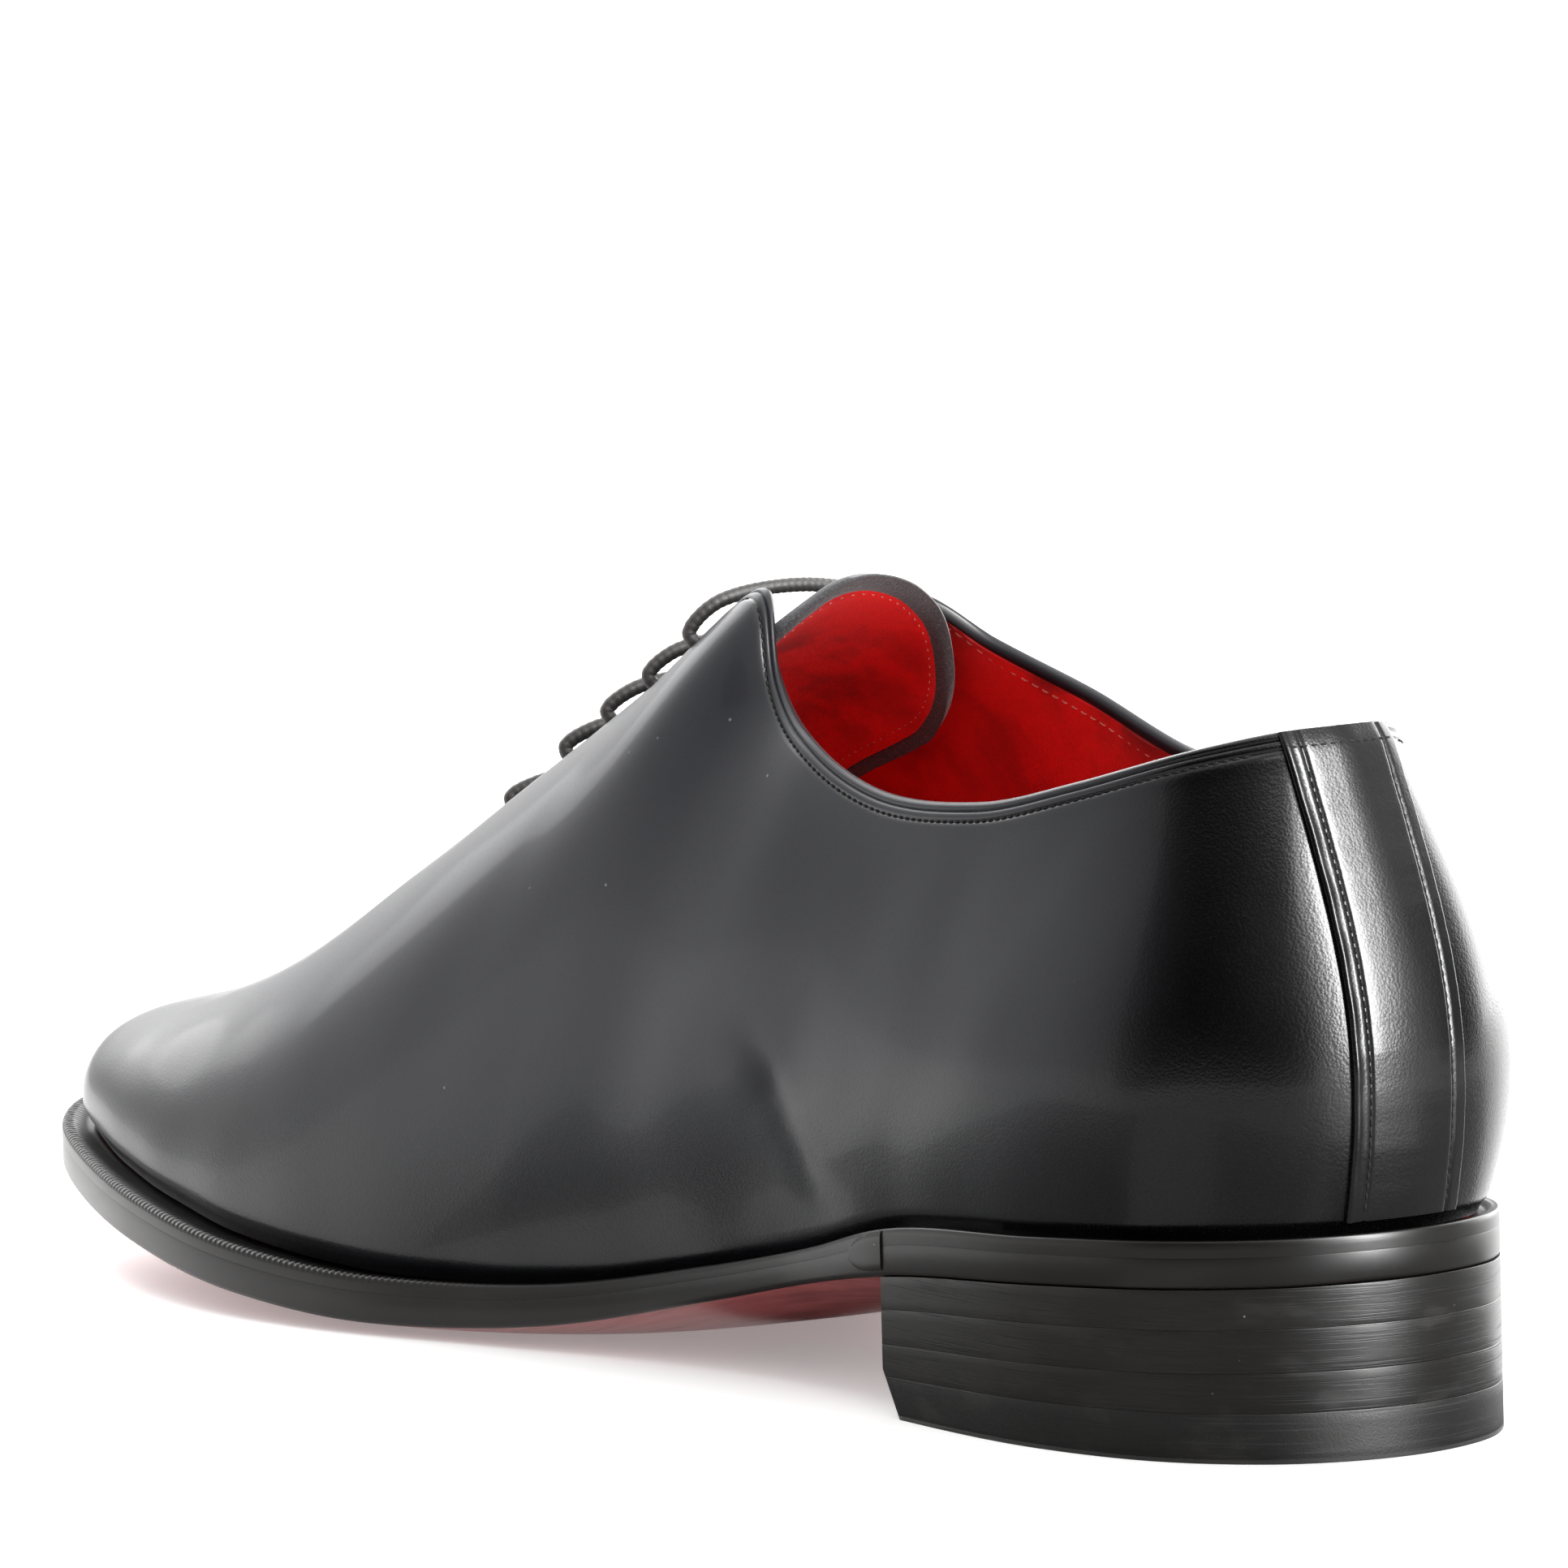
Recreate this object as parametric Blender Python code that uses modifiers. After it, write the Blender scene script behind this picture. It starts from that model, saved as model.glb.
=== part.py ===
"""Whole cut oxford, right shoe, as separate solids in metres.

+X is the toe, +Y the wearer's left (the inner side of this right shoe), +Z up, the floor at Z 0.
The last comes from two plan curves and a height line: `outline` gives the edge of the sole,
`seat` the top of the welt, and `skin` the outer face of the upper for one side, a share of the
way along that side and a share of the way from the feather to the top line. Every other piece
of the upper is an offset of `skin`, and every layer of the sole is an inset of `outline`.
"""

import math

import bmesh
import bpy
import numpy as np

# Driving sizes
LENGTH = 0.306
BALL_WIDTH = 0.098
HEEL_RISE = 0.024
TOE_SPRING = 0.0160
INSTEP = 0.094
WALL = 0.002
SOLE_CROWN = 0.005

# Positions along the length, as shares of it
BREAST = 0.254

# Clearances between pieces
CLEAR = 0.0003
STACK_GAP = 0.0002

# Sole layers
EDGE_HEEL = 0.0066
WELT_SHARE = 0.35
EDGE_ROUND = 0.0012
INSOLE_THICK = 0.0025
INSOLE_LEDGE = 0.006
INSOLE_SIDE = 0.0006

# Overlay, tongue and laces
STRIP_HALF = 0.0092
STRIP_THICK = 0.0009
TONGUE_THICK = 0.002
TONGUE_CLEAR = 0.0012
TONGUE_TUCK = 0.0015
TONGUE_SIDE = 0.026
TONGUE_BACK = 0.022
TONGUE_ABOVE = 0.0085
EYELET_INSET = 0.008
EYELET_RADIUS = 0.0016
LACE_RADIUS = 0.0011
LACE_DIP = 0.001

# Plan of the sole: share of LENGTH, inner and outer side as shares of BALL_WIDTH
OUTLINE = (
    (0.000, 0.000, 0.000),
    (0.006, 0.105, -0.105),
    (0.022, 0.195, -0.195),
    (0.062, 0.290, -0.290),
    (0.136, 0.345, -0.345),
    (0.254, 0.330, -0.340),
    (0.358, 0.280, -0.350),
    (0.456, 0.297, -0.385),
    (0.554, 0.375, -0.445),
    (0.652, 0.460, -0.505),
    (0.732, 0.482, -0.515),
    (0.812, 0.450, -0.465),
    (0.885, 0.382, -0.378),
    (0.946, 0.298, -0.268),
    (0.972, 0.232, -0.194),
    (0.989, 0.156, -0.116),
    (0.998, 0.080, -0.040),
    (1.000, 0.020, 0.020),
)

# Underside of the edge: share of LENGTH, share of HEEL_RISE, share of TOE_SPRING,
# edge thickness as a share of EDGE_HEEL, crown of the underside as a share of SOLE_CROWN
PROFILE = (
    (0.000, 1.000, 0.00, 1.00, 1.00),
    (0.130, 0.925, 0.00, 1.00, 1.00),
    (0.254, 0.800, 0.00, 1.00, 1.00),
    (0.326, 0.650, 0.00, 0.76, 1.00),
    (0.420, 0.400, 0.00, 0.78, 0.90),
    (0.520, 0.150, 0.00, 0.92, 0.60),
    (0.620, 0.030, 0.06, 1.06, 0.45),
    (0.710, 0.000, 0.22, 1.08, 0.40),
    (0.810, 0.000, 0.45, 1.08, 0.35),
    (0.910, 0.000, 0.70, 1.08, 0.30),
    (1.000, 0.000, 1.00, 1.08, 0.20),
)

# Welt shown beyond the upper: share of LENGTH, metres
MARGIN = (
    (0.00, 0.0018),
    (0.10, 0.0018),
    (0.25, 0.0014),
    (0.36, 0.0010),
    (0.45, 0.0015),
    (0.55, 0.0030),
    (0.65, 0.0045),
    (0.80, 0.0050),
    (0.90, 0.0042),
    (1.00, 0.0034),
)

# Top line, throat and vamp ridge: share of the way from heel to toe, share of LENGTH,
# inner and outer side as shares of BALL_WIDTH, their heights over the seat as shares of INSTEP
THROAT_TOP = 0.545
THROAT_END = 0.750
TOP = (
    (0.000, 0.045, 0.000, 0.000, 0.697, 0.697),
    (0.060, 0.052, 0.092, -0.092, 0.694, 0.694),
    (0.120, 0.078, 0.173, -0.173, 0.680, 0.680),
    (0.200, 0.137, 0.240, -0.245, 0.645, 0.645),
    (0.280, 0.202, 0.265, -0.275, 0.615, 0.622),
    (0.360, 0.270, 0.265, -0.280, 0.641, 0.657),
    (0.430, 0.332, 0.243, -0.245, 0.741, 0.782),
    (0.500, 0.384, 0.189, -0.185, 0.863, 0.888),
    (0.545, 0.411, 0.148, -0.092, 1.000, 0.978),
    (0.600, 0.482, 0.107, -0.051, 0.930, 0.930),
    (0.660, 0.560, 0.077, -0.015, 0.820, 0.820),
    (0.720, 0.642, 0.045, 0.020, 0.671, 0.671),
    (0.750, 0.682, 0.036, 0.036, 0.585, 0.585),
    (0.780, 0.723, 0.036, 0.036, 0.494, 0.494),
    (0.840, 0.803, 0.038, 0.038, 0.344, 0.344),
    (0.900, 0.862, 0.040, 0.040, 0.262, 0.262),
    (0.950, 0.905, 0.042, 0.042, 0.213, 0.213),
    (1.000, 0.940, 0.042, 0.042, 0.163, 0.163),
)

# Fullness of the last: share of the way from heel to toe; outward lean of the wall at the feather
# on the inner and outer side in degrees, and its reach; lean in from the top edge, and its reach.
# Both reaches are shares of INSTEP.
FULLNESS = (
    (0.000, 14, 14, 0.30, 24, 0.30),
    (0.060, 15, 18, 0.30, 24, 0.30),
    (0.120, 15, 24, 0.29, 22, 0.29),
    (0.200, 14, 26, 0.27, 18, 0.28),
    (0.280, 13, 22, 0.25, 15, 0.27),
    (0.360, 18, 20, 0.24, 20, 0.25),
    (0.430, 22, 22, 0.24, 34, 0.24),
    (0.500, 18, 18, 0.24, 48, 0.26),
    (0.545, 15, 15, 0.24, 58, 0.30),
    (0.600, 11, 11, 0.24, 65, 0.33),
    (0.660, 8, 8, 0.22, 70, 0.33),
    (0.720, 5, 5, 0.20, 76, 0.30),
    (0.780, 5, 5, 0.16, 80, 0.28),
    (0.840, 10, 10, 0.14, 82, 0.26),
    (0.900, 18, 18, 0.12, 84, 0.20),
    (0.950, 25, 25, 0.12, 83, 0.17),
    (1.000, 30, 30, 0.12, 81, 0.15),
)

# Heel stack, as shares of the height under the outsole, floor up
STACK = (
    ("top_piece", 0.000, 0.288),
    ("heel_lift_3", 0.288, 0.517),
    ("heel_lift_2", 0.517, 0.767),
    ("heel_lift_1", 0.767, 1.000),
)

# Lace rows: share of the way from heel to toe, height of the arch over the throat
LACES = (
    (0.573, 0.0022),
    (0.603, 0.0018),
    (0.634, 0.0018),
    (0.665, 0.0014),
    (0.706, 0.0014),
)

# Counts
OUTLINE_STEPS = 34
ACROSS = 6
BACK_COLUMNS = 30
FRONT_COLUMNS = 15
SKIN_ROWS = 14

for old in list(bpy.data.objects):
    bpy.data.objects.remove(old, do_unlink=True)


def flowing(table, column, at):
    """A column of a table as a curve through all its rows."""
    x = np.array([row[0] for row in table], float)
    y = np.array([row[column] for row in table], float)
    slope = np.gradient(y, x)
    step = np.diff(x)
    at = np.asarray(at, float)
    i = np.clip(np.searchsorted(x, at) - 1, 0, len(step) - 1)
    t = np.clip((at - x[i]) / step[i], 0, 1)
    start = (1 + 2 * t) * (1 - t) ** 2 * y[i] + t * (1 - t) ** 2 * step[i] * slope[i]
    return start + t * t * (3 - 2 * t) * y[i + 1] - t * t * (1 - t) * step[i] * slope[i + 1]


def side_curve(side, count=1200):
    """One side of the outline from the heel's back to the toe tip, evenly spaced, with outward normals."""
    own = 1 if side > 0 else 2
    other = 3 - own
    rows = [OUTLINE[1][:1] + (OUTLINE[1][other],)]
    rows += [(row[0], row[own]) for row in OUTLINE]
    rows += [(OUTLINE[-2][0], OUTLINE[-2][other])]
    knots = np.array(rows) * (LENGTH, BALL_WIDTH)
    hops = np.sqrt(np.linalg.norm(np.diff(knots, axis=0), axis=1))
    mark = np.concatenate([[0], np.cumsum(hops)])
    table = np.column_stack([mark, knots])
    fine = np.linspace(mark[1], mark[-2], 1500)
    curve = np.stack([flowing(table, 1, fine), flowing(table, 2, fine)], 1)
    run = np.concatenate([[0], np.cumsum(np.linalg.norm(np.diff(curve, axis=0), axis=1))])
    even = np.linspace(0, run[-1], count)
    curve = np.stack([np.interp(even, run, curve[:, 0]), np.interp(even, run, curve[:, 1])], 1)
    along = np.gradient(curve, axis=0)
    along /= np.linalg.norm(along, axis=1)[:, None]
    out = np.stack([-along[:, 1], along[:, 0]], 1) * side
    out[0] = (-1, 0)
    out[-1] = (1, 0)
    return curve, out


SIDES = {1: side_curve(1), -1: side_curve(-1)}


def outline(side, share, inset=0.0):
    """Plan points of the sole's edge, moved in by `inset`, and the outward direction there."""
    curve, out = SIDES[side]
    mark = np.linspace(0, 1, len(curve))
    pick = [np.interp(share, mark, values) for values in (*curve.T, *out.T)]
    plan = np.stack(pick[:2], -1)
    outward = np.stack(pick[2:], -1)
    outward /= np.linalg.norm(outward, axis=-1)[..., None]
    return plan - outward * np.asarray(inset)[..., None], outward


def share_at(side, x):
    """How far along one side the outline reaches this share of LENGTH."""
    curve = SIDES[side][0]
    widest = np.argmax(curve[:, 0])
    return float(np.interp(x * LENGTH, curve[:widest, 0], np.linspace(0, 1, len(curve))[:widest]))


def underside(x):
    """Height of the outsole's lower edge."""
    at = np.asarray(x) / LENGTH
    return HEEL_RISE * flowing(PROFILE, 1, at) + TOE_SPRING * flowing(PROFILE, 2, at)


def edge_thick(x):
    return EDGE_HEEL * flowing(PROFILE, 3, np.asarray(x) / LENGTH)


def seat(x):
    """Height of the welt's top, on which the upper stands."""
    return underside(x) + edge_thick(x)


def outsole_top(x):
    return underside(x) + edge_thick(x) * (1 - WELT_SHARE)


def margin(x):
    return flowing(MARGIN, 1, np.asarray(x) / LENGTH)


def skin(side, share, up):
    """Outer face of the upper: one side, share of the way to the toe, share of the way up."""
    share, up = np.broadcast_arrays(np.asarray(share, float), np.asarray(up, float))
    flat = share.ravel()
    rise = up.ravel()[:, None]
    edge = outline(side, flat)[0]
    plan, outward = outline(side, flat, margin(edge[:, 0]))
    foot = np.column_stack([plan, seat(plan[:, 0]) + CLEAR])
    outer = (side < 0) & (flat < THROAT_END)
    x = LENGTH * flowing(TOP, 1, flat)
    y = BALL_WIDTH * np.where(outer, flowing(TOP, 3, flat), flowing(TOP, 2, flat))
    tall = INSTEP * np.where(outer, flowing(TOP, 5, flat), flowing(TOP, 4, flat))
    head = np.column_stack([x, y, seat(x) + tall])
    low = np.radians(flowing(FULLNESS, 1 if side > 0 else 2, flat))[:, None]
    high = np.radians(flowing(FULLNESS, 4, flat))[:, None]
    low_reach = INSTEP * flowing(FULLNESS, 3, flat)[:, None]
    high_reach = INSTEP * flowing(FULLNESS, 5, flat)[:, None]
    fall = (foot - head)[:, :2]
    fall /= np.linalg.norm(fall, axis=1)[:, None]
    turn = np.interp(flat, (0, 0.5, 0.7, 0.9, 1), (0, 0.2, 0.6, 0.8, 1))[:, None]
    drop = outward * (1 - turn) + fall * turn
    drop /= np.linalg.norm(drop, axis=1)[:, None]
    upward = np.array([[0, 0, 1.0]])
    wide = np.column_stack([outward, np.zeros(len(flat))])
    away = np.column_stack([drop, np.zeros(len(flat))])
    lower = foot + low_reach * (wide * np.sin(low) + upward * np.cos(low))
    upper = head + high_reach * (away * np.sin(high) - upward * np.cos(high))
    point = foot * (1 - rise) ** 3 + 3 * lower * rise * (1 - rise) ** 2
    point = point + 3 * upper * rise**2 * (1 - rise) + head * rise**3
    return point.reshape(share.shape + (3,))


def lift_off(side, share, up, distance):
    """A point at a distance outside the skin, or inside it where the distance is negative."""
    step = 0.002
    along = skin(side, np.minimum(share + step, 1), up) - skin(side, np.maximum(share - step, 0), up)
    rise = skin(side, share, np.minimum(up + step, 1)) - skin(side, share, np.maximum(up - step, 0))
    normal = np.cross(rise, along) * side
    normal /= np.linalg.norm(normal, axis=-1)[..., None]
    return skin(side, share, up) + normal * distance, normal


def drop_from_edge(side, share, distance):
    """Share of the way up the skin that lies this far below the top edge."""
    up = np.linspace(1, 0, 200)
    line = skin(side, np.full(200, share), up)
    run = np.concatenate([[0], np.cumsum(np.linalg.norm(np.diff(line, axis=0), axis=1))])
    return float(np.interp(distance, run, up))


def look(name, colour, roughness, coat=0.0):
    made = bpy.data.materials.new(name)
    made.use_nodes = True
    node = made.node_tree.nodes["Principled BSDF"]
    node.inputs["Base Color"].default_value = (*colour, 1)
    node.inputs["Roughness"].default_value = roughness
    node.inputs["Coat Weight"].default_value = coat
    made.diffuse_color = (*colour, 1)
    return made


UPPER_LEATHER = look("upper_calf_leather", (0.030, 0.031, 0.036), 0.38, 0.2)
LINING_SUEDE = look("tongue_leather", (0.030, 0.029, 0.031), 0.7)
SOLE_LEATHER = look("sole_leather", (0.42, 0.012, 0.016), 0.45)
EDGE_LEATHER = look("edge_leather", (0.035, 0.029, 0.027), 0.4)
INSOLE_LEATHER = look("insole_leather", (0.45, 0.015, 0.02), 0.6)
RUBBER = look("top_piece_rubber", (0.02, 0.019, 0.018), 0.65)
CORD = look("lace_cord", (0.045, 0.042, 0.044), 0.6)


def solid(name, points, faces, material):
    """A mesh object with doubled points joined and its faces turned outward."""
    mesh = bpy.data.meshes.new(name)
    mesh.from_pydata([tuple(p) for p in np.reshape(points, (-1, 3))], [], [tuple(f) for f in faces])
    work = bmesh.new()
    work.from_mesh(mesh)
    bmesh.ops.remove_doubles(work, verts=work.verts, dist=1e-6)
    bmesh.ops.recalc_face_normals(work, faces=work.faces)
    work.to_mesh(mesh)
    work.free()
    mesh.materials.append(material)
    made = bpy.data.objects.new(name, mesh)
    bpy.context.scene.collection.objects.link(made)
    return made


def net(rows, columns, first=0, closed=False):
    """Quads over a grid of points, closed across the columns if asked."""
    wide = columns if closed else columns - 1
    quads = []
    for i in range(rows - 1):
        for j in range(wide):
            k = (j + 1) % columns
            a = first + i * columns
            b = a + columns
            quads.append((a + j, a + k, b + k, b + j))
    return quads


def slab(name, levels, material):
    """A plate from grids of the same size, bottom one first: the end grids are its faces, the borders its side."""
    rows, columns = levels[0].shape[:2]
    border = [(i, 0) for i in range(rows)]
    border += [(rows - 1, j) for j in range(1, columns)]
    border += [(i, columns - 1) for i in range(rows - 2, -1, -1)]
    border += [(0, j) for j in range(columns - 2, 0, -1)]
    points = [levels[0].reshape(-1, 3), levels[-1].reshape(-1, 3)]
    size = rows * columns
    faces = net(rows, columns) + net(rows, columns, size)
    rings = [[i * columns + j for i, j in border]]
    start = 2 * size
    for level in levels[1:-1]:
        points.append(np.array([level[i, j] for i, j in border]))
        rings.append(list(range(start, start + len(border))))
        start += len(border)
    rings.append([size + k for k in rings[0]])
    for lower, upper in zip(rings, rings[1:]):
        for k in range(len(lower)):
            n = (k + 1) % len(lower)
            faces.append((lower[k], lower[n], upper[n], upper[k]))
    return solid(name, np.concatenate(points), faces, material)


def level(stations, inset, height, crown=0.0):
    """A grid from side to side of the outline. `stations` holds the shares along each side."""
    inner, outer = stations
    near = outline(1, inner)[0][:, 0]
    far = outline(-1, outer)[0][:, 0]
    left = outline(1, inner, inset(near))[0]
    right = outline(-1, outer, inset(far))[0]
    across = np.linspace(0, 1, ACROSS + 1)[None, :, None]
    plan = left[:, None] * (1 - across) + right[:, None] * across
    x = plan[..., 0]
    bow = 1 - np.abs(2 * across[..., 0] - 1) ** 4
    width = np.linalg.norm(left - right, axis=1)[:, None]
    drop = (crown(x) if callable(crown) else crown) * bow * np.clip(width / 0.03, 0, 1)
    return np.dstack([plan, np.maximum(height(x) - drop, 0.0)])


def stations(start, end, count):
    """Evenly spread shares along both sides between two shares of LENGTH."""
    both = []
    for side in (1, -1):
        a = share_at(side, start) if start > 0 else 0.0
        b = share_at(side, end) if end < 1 else 1.0
        both.append(np.linspace(a, b, count))
    return both


def edging(name, start, end, count, section, material):
    """A strip along the outline with one cross-section of (inset, height) functions.
    `start` and `end` are shares of LENGTH on the two sides; it goes round the toe or the heel."""
    inner = np.linspace(share_at(1, start), end, count)
    outer = np.linspace(end, share_at(-1, start), count)[1:]
    rings = []
    for side, shares in ((1, inner), (-1, outer)):
        x = outline(side, shares)[0][:, 0]
        columns = []
        for inset, height in section:
            plan = outline(side, shares, inset(x))[0]
            columns.append(np.column_stack([plan, height(plan[:, 0])]))
        rings.append(np.stack(columns, 1))
    grid = np.concatenate(rings)
    rows, columns = grid.shape[:2]
    last = (rows - 1) * columns
    caps = [tuple(range(columns)), tuple(last + j for j in range(columns))]
    return solid(name, grid, net(rows, columns, closed=True) + caps, material)


def shell(name, outer, inner, material):
    """A sheet with thickness between two grids of the same size."""
    rows, columns = outer.shape[:2]
    size = rows * columns
    faces = net(rows, columns) + net(rows, columns, size)
    border = [i * columns for i in range(rows)]
    border += [(rows - 1) * columns + j for j in range(1, columns)]
    border += [i * columns + columns - 1 for i in range(rows - 2, -1, -1)]
    border += [j for j in range(columns - 2, 0, -1)]
    for k, a in enumerate(border):
        b = border[(k + 1) % len(border)]
        faces.append((a, b, b + size, a + size))
    points = np.concatenate([outer.reshape(-1, 3), inner.reshape(-1, 3)])
    return solid(name, points, faces, material)


def tube(name, centres, radius, sides, material):
    """A round cord along a run of points, with flat ends."""
    centres = np.asarray(centres)
    along = np.gradient(centres, axis=0)
    along /= np.linalg.norm(along, axis=1)[:, None]
    guide = np.array([1.0, 0.0, 0.45])
    rings = []
    for point, axis in zip(centres, along):
        one = np.cross(axis, guide)
        one /= np.linalg.norm(one)
        two = np.cross(axis, one)
        angles = np.arange(sides) * 2 * math.pi / sides
        rings.append(point + radius * (np.cos(angles)[:, None] * one + np.sin(angles)[:, None] * two))
    rows = len(centres)
    last = (rows - 1) * sides
    caps = [tuple(range(sides)), tuple(last + j for j in range(sides))]
    return solid(name, np.concatenate(rings), net(rows, sides, closed=True) + caps, material)


def no_inset(x):
    return np.zeros_like(x)


def breast_crown(x):
    """Crown of the outsole's underside, which starts in front of the heel breast."""
    ahead = np.clip((x - BREAST * LENGTH - STACK_GAP) / 0.001, 0, 1)
    return ahead * SOLE_CROWN * flowing(PROFILE, 4, x / LENGTH)


# Outsole: one plate, heel to toe, crowned below and with a flat spot under the ball
heel_part = stations(0, BREAST + STACK_GAP / LENGTH, 12)
fore_part = stations(BREAST + (STACK_GAP + 0.001) / LENGTH, 1, OUTLINE_STEPS - 12)
sole_stations = [np.concatenate(pair) for pair in zip(heel_part, fore_part)]
slab(
    "outsole",
    [
        level(sole_stations, no_inset, underside, breast_crown),
        level(sole_stations, no_inset, outsole_top),
    ],
    SOLE_LEATHER,
)

# Welt round the forefoot and rand round the heel seat, both under the upper's edge
def under_upper(x):
    return margin(x) + WALL + 0.0028


def rounded(x):
    return EDGE_ROUND * np.clip((x / LENGTH - 0.3) / 0.2, 0.25, 1)


STRIP_SECTION = (
    (no_inset, lambda x: outsole_top(x) + STACK_GAP),
    (lambda x: 0.25 * rounded(x), lambda x: seat(x) - 0.0010),
    (rounded, seat),
    (under_upper, seat),
    (under_upper, lambda x: outsole_top(x) + STACK_GAP),
)
edging("welt", BREAST + 0.001, 1.0, 30, STRIP_SECTION, EDGE_LEATHER)
edging("heel_rand", BREAST - 0.001, 0.0, 14, STRIP_SECTION, EDGE_LEATHER)

# Heel stack, with the inner front corner cut away towards the floor
helpers = bpy.data.collections.new("cutters")
helpers.hide_render = True
bpy.context.scene.collection.children.link(helpers)


def cutter(made):
    bpy.context.scene.collection.objects.unlink(made)
    helpers.objects.link(made)
    made.hide_render = True
    made.display_type = "WIRE"
    return made


def cut(target, tool):
    boolean = target.modifiers.new("cut_" + tool.name, "BOOLEAN")
    boolean.operation = "DIFFERENCE"
    boolean.solver = "EXACT"
    boolean.object = tool


corner_share = share_at(1, BREAST)
corner = outline(1, corner_share)[0]
CUT_DEEP = 0.0027
CUT_TALL = 0.0065
facing = np.array([0.67, 0.74, 0.0])
edge_way = np.array([-0.74, 0.67, 0.0])
wedge_top = np.array([corner[0], corner[1], CUT_TALL])
wedge_low = wedge_top - 2 * (facing * CUT_DEEP + np.array([0, 0, CUT_TALL]))
sheet = [wedge_top + edge_way * 0.03, wedge_top - edge_way * 0.03]
sheet += [wedge_low - edge_way * 0.03, wedge_low + edge_way * 0.03]
beyond = facing * 0.02
block = np.array(sheet + [p + beyond for p in sheet])
quads = [(0, 1, 2, 3), (4, 5, 6, 7), (0, 1, 5, 4), (1, 2, 6, 5), (2, 3, 7, 6), (3, 0, 4, 7)]
corner_cutter = cutter(solid("corner_cutter", block, quads, RUBBER))

lift_stations = stations(0, BREAST - 0.0005, 16)
for name, low, high in STACK:
    bottom = STACK_GAP if low else 0.0

    def base(x, low=low, bottom=bottom):
        return underside(x) * low + bottom

    def top(x, high=high):
        return underside(x) * high - (STACK_GAP if high == 1 else 0)

    layer = slab(
        name,
        [level(lift_stations, no_inset, base), level(lift_stations, no_inset, top)],
        RUBBER if name == "top_piece" else EDGE_LEATHER,
    )
    if low * HEEL_RISE < CUT_TALL:
        cut(layer, corner_cutter)


# Insole, its lower part inside the ring of welt and rand
def ledge(x):
    return margin(x) + INSOLE_LEDGE


def insole_edge(x):
    return margin(x) + WALL + INSOLE_SIDE


insole_stations = stations(0, 1, OUTLINE_STEPS - 6)
slab(
    "insole",
    [
        level(insole_stations, ledge, lambda x: outsole_top(x) + STACK_GAP),
        level(insole_stations, ledge, lambda x: seat(x) + 0.0004),
        level(insole_stations, insole_edge, lambda x: seat(x) + 0.0004),
        level(insole_stations, insole_edge, lambda x: seat(x) + INSOLE_THICK),
    ],
    INSOLE_LEATHER,
)

# Upper: the skin of both sides, joined at the back, the toe and the vamp ridge, with a real wall
upper_shares = np.concatenate(
    [np.linspace(0, THROAT_END, BACK_COLUMNS), np.linspace(THROAT_END, 1, FRONT_COLUMNS)[1:]]
)
rows_up = np.linspace(0, 1, SKIN_ROWS)
nets = []
points = []
for side in (1, -1):
    points.append(skin(side, upper_shares[:, None], rows_up[None, :]))
    nets += net(len(upper_shares), SKIN_ROWS, len(upper_shares) * SKIN_ROWS * (side < 0))
upper = solid("upper", np.concatenate(points), nets, UPPER_LEATHER)
wall = upper.modifiers.new("wall", "SOLIDIFY")
wall.thickness = WALL
wall.offset = -1
wall.use_even_offset = True

# Lace holes and the laces across the throat
holes = []
hole_faces = []
for number, (share, arch) in enumerate(LACES, 1):
    feet = []
    for side in (1, -1):
        up = drop_from_edge(side, share, EYELET_INSET)
        point, normal = lift_off(side, share, up, 0.0)
        feet.append((point, normal, lift_off(side, share, 1.0, 0.0)[0]))
        one = np.cross(normal, (1.0, 0, 0))
        one /= np.linalg.norm(one)
        two = np.cross(normal, one)
        angles = np.arange(10) * math.pi / 5
        ring = EYELET_RADIUS * (np.cos(angles)[:, None] * one + np.sin(angles)[:, None] * two)
        first = len(holes) * 10
        holes += [point + normal * 0.004 + ring, point - normal * 0.005 + ring]
        hole_faces += net(2, 10, first, closed=True)
        hole_faces += [tuple(range(first, first + 10)), tuple(range(first + 10, first + 20))]
    (inner, inner_up, inner_edge), (outer, outer_up, outer_edge) = feet
    middle = (inner_edge + outer_edge) / 2 + np.array([0.35, 0, 0.9]) * arch
    slack = np.array([-0.002, 0, 0.0010]) * (number == 1)
    span = LACE_RADIUS + CLEAR + 0.0002
    knots = np.array([
        inner - inner_up * LACE_DIP,
        inner + inner_up * span,
        inner_edge * 0.6 + inner * 0.4 + inner_up * (span + arch * 0.45) + slack * 0.6,
        middle + slack,
        outer_edge * 0.6 + outer * 0.4 + outer_up * (span + arch * 0.45) + slack * 0.6,
        outer + outer_up * span,
        outer - outer_up * LACE_DIP,
    ])
    hops = np.linalg.norm(np.diff(knots, axis=0), axis=1) ** 0.5
    mark = np.concatenate([[0], np.cumsum(hops)])
    table = np.column_stack([mark, knots])
    fine = np.linspace(0, mark[-1], 19)
    path = np.stack([flowing(table, k, fine) for k in (1, 2, 3)], 1)
    tube(f"lace_bar_{number}", path, LACE_RADIUS, 8, CORD)

hole_cutter = cutter(solid("hole_cutter", np.concatenate(holes), hole_faces, CORD))
cut(upper, hole_cutter)

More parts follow.
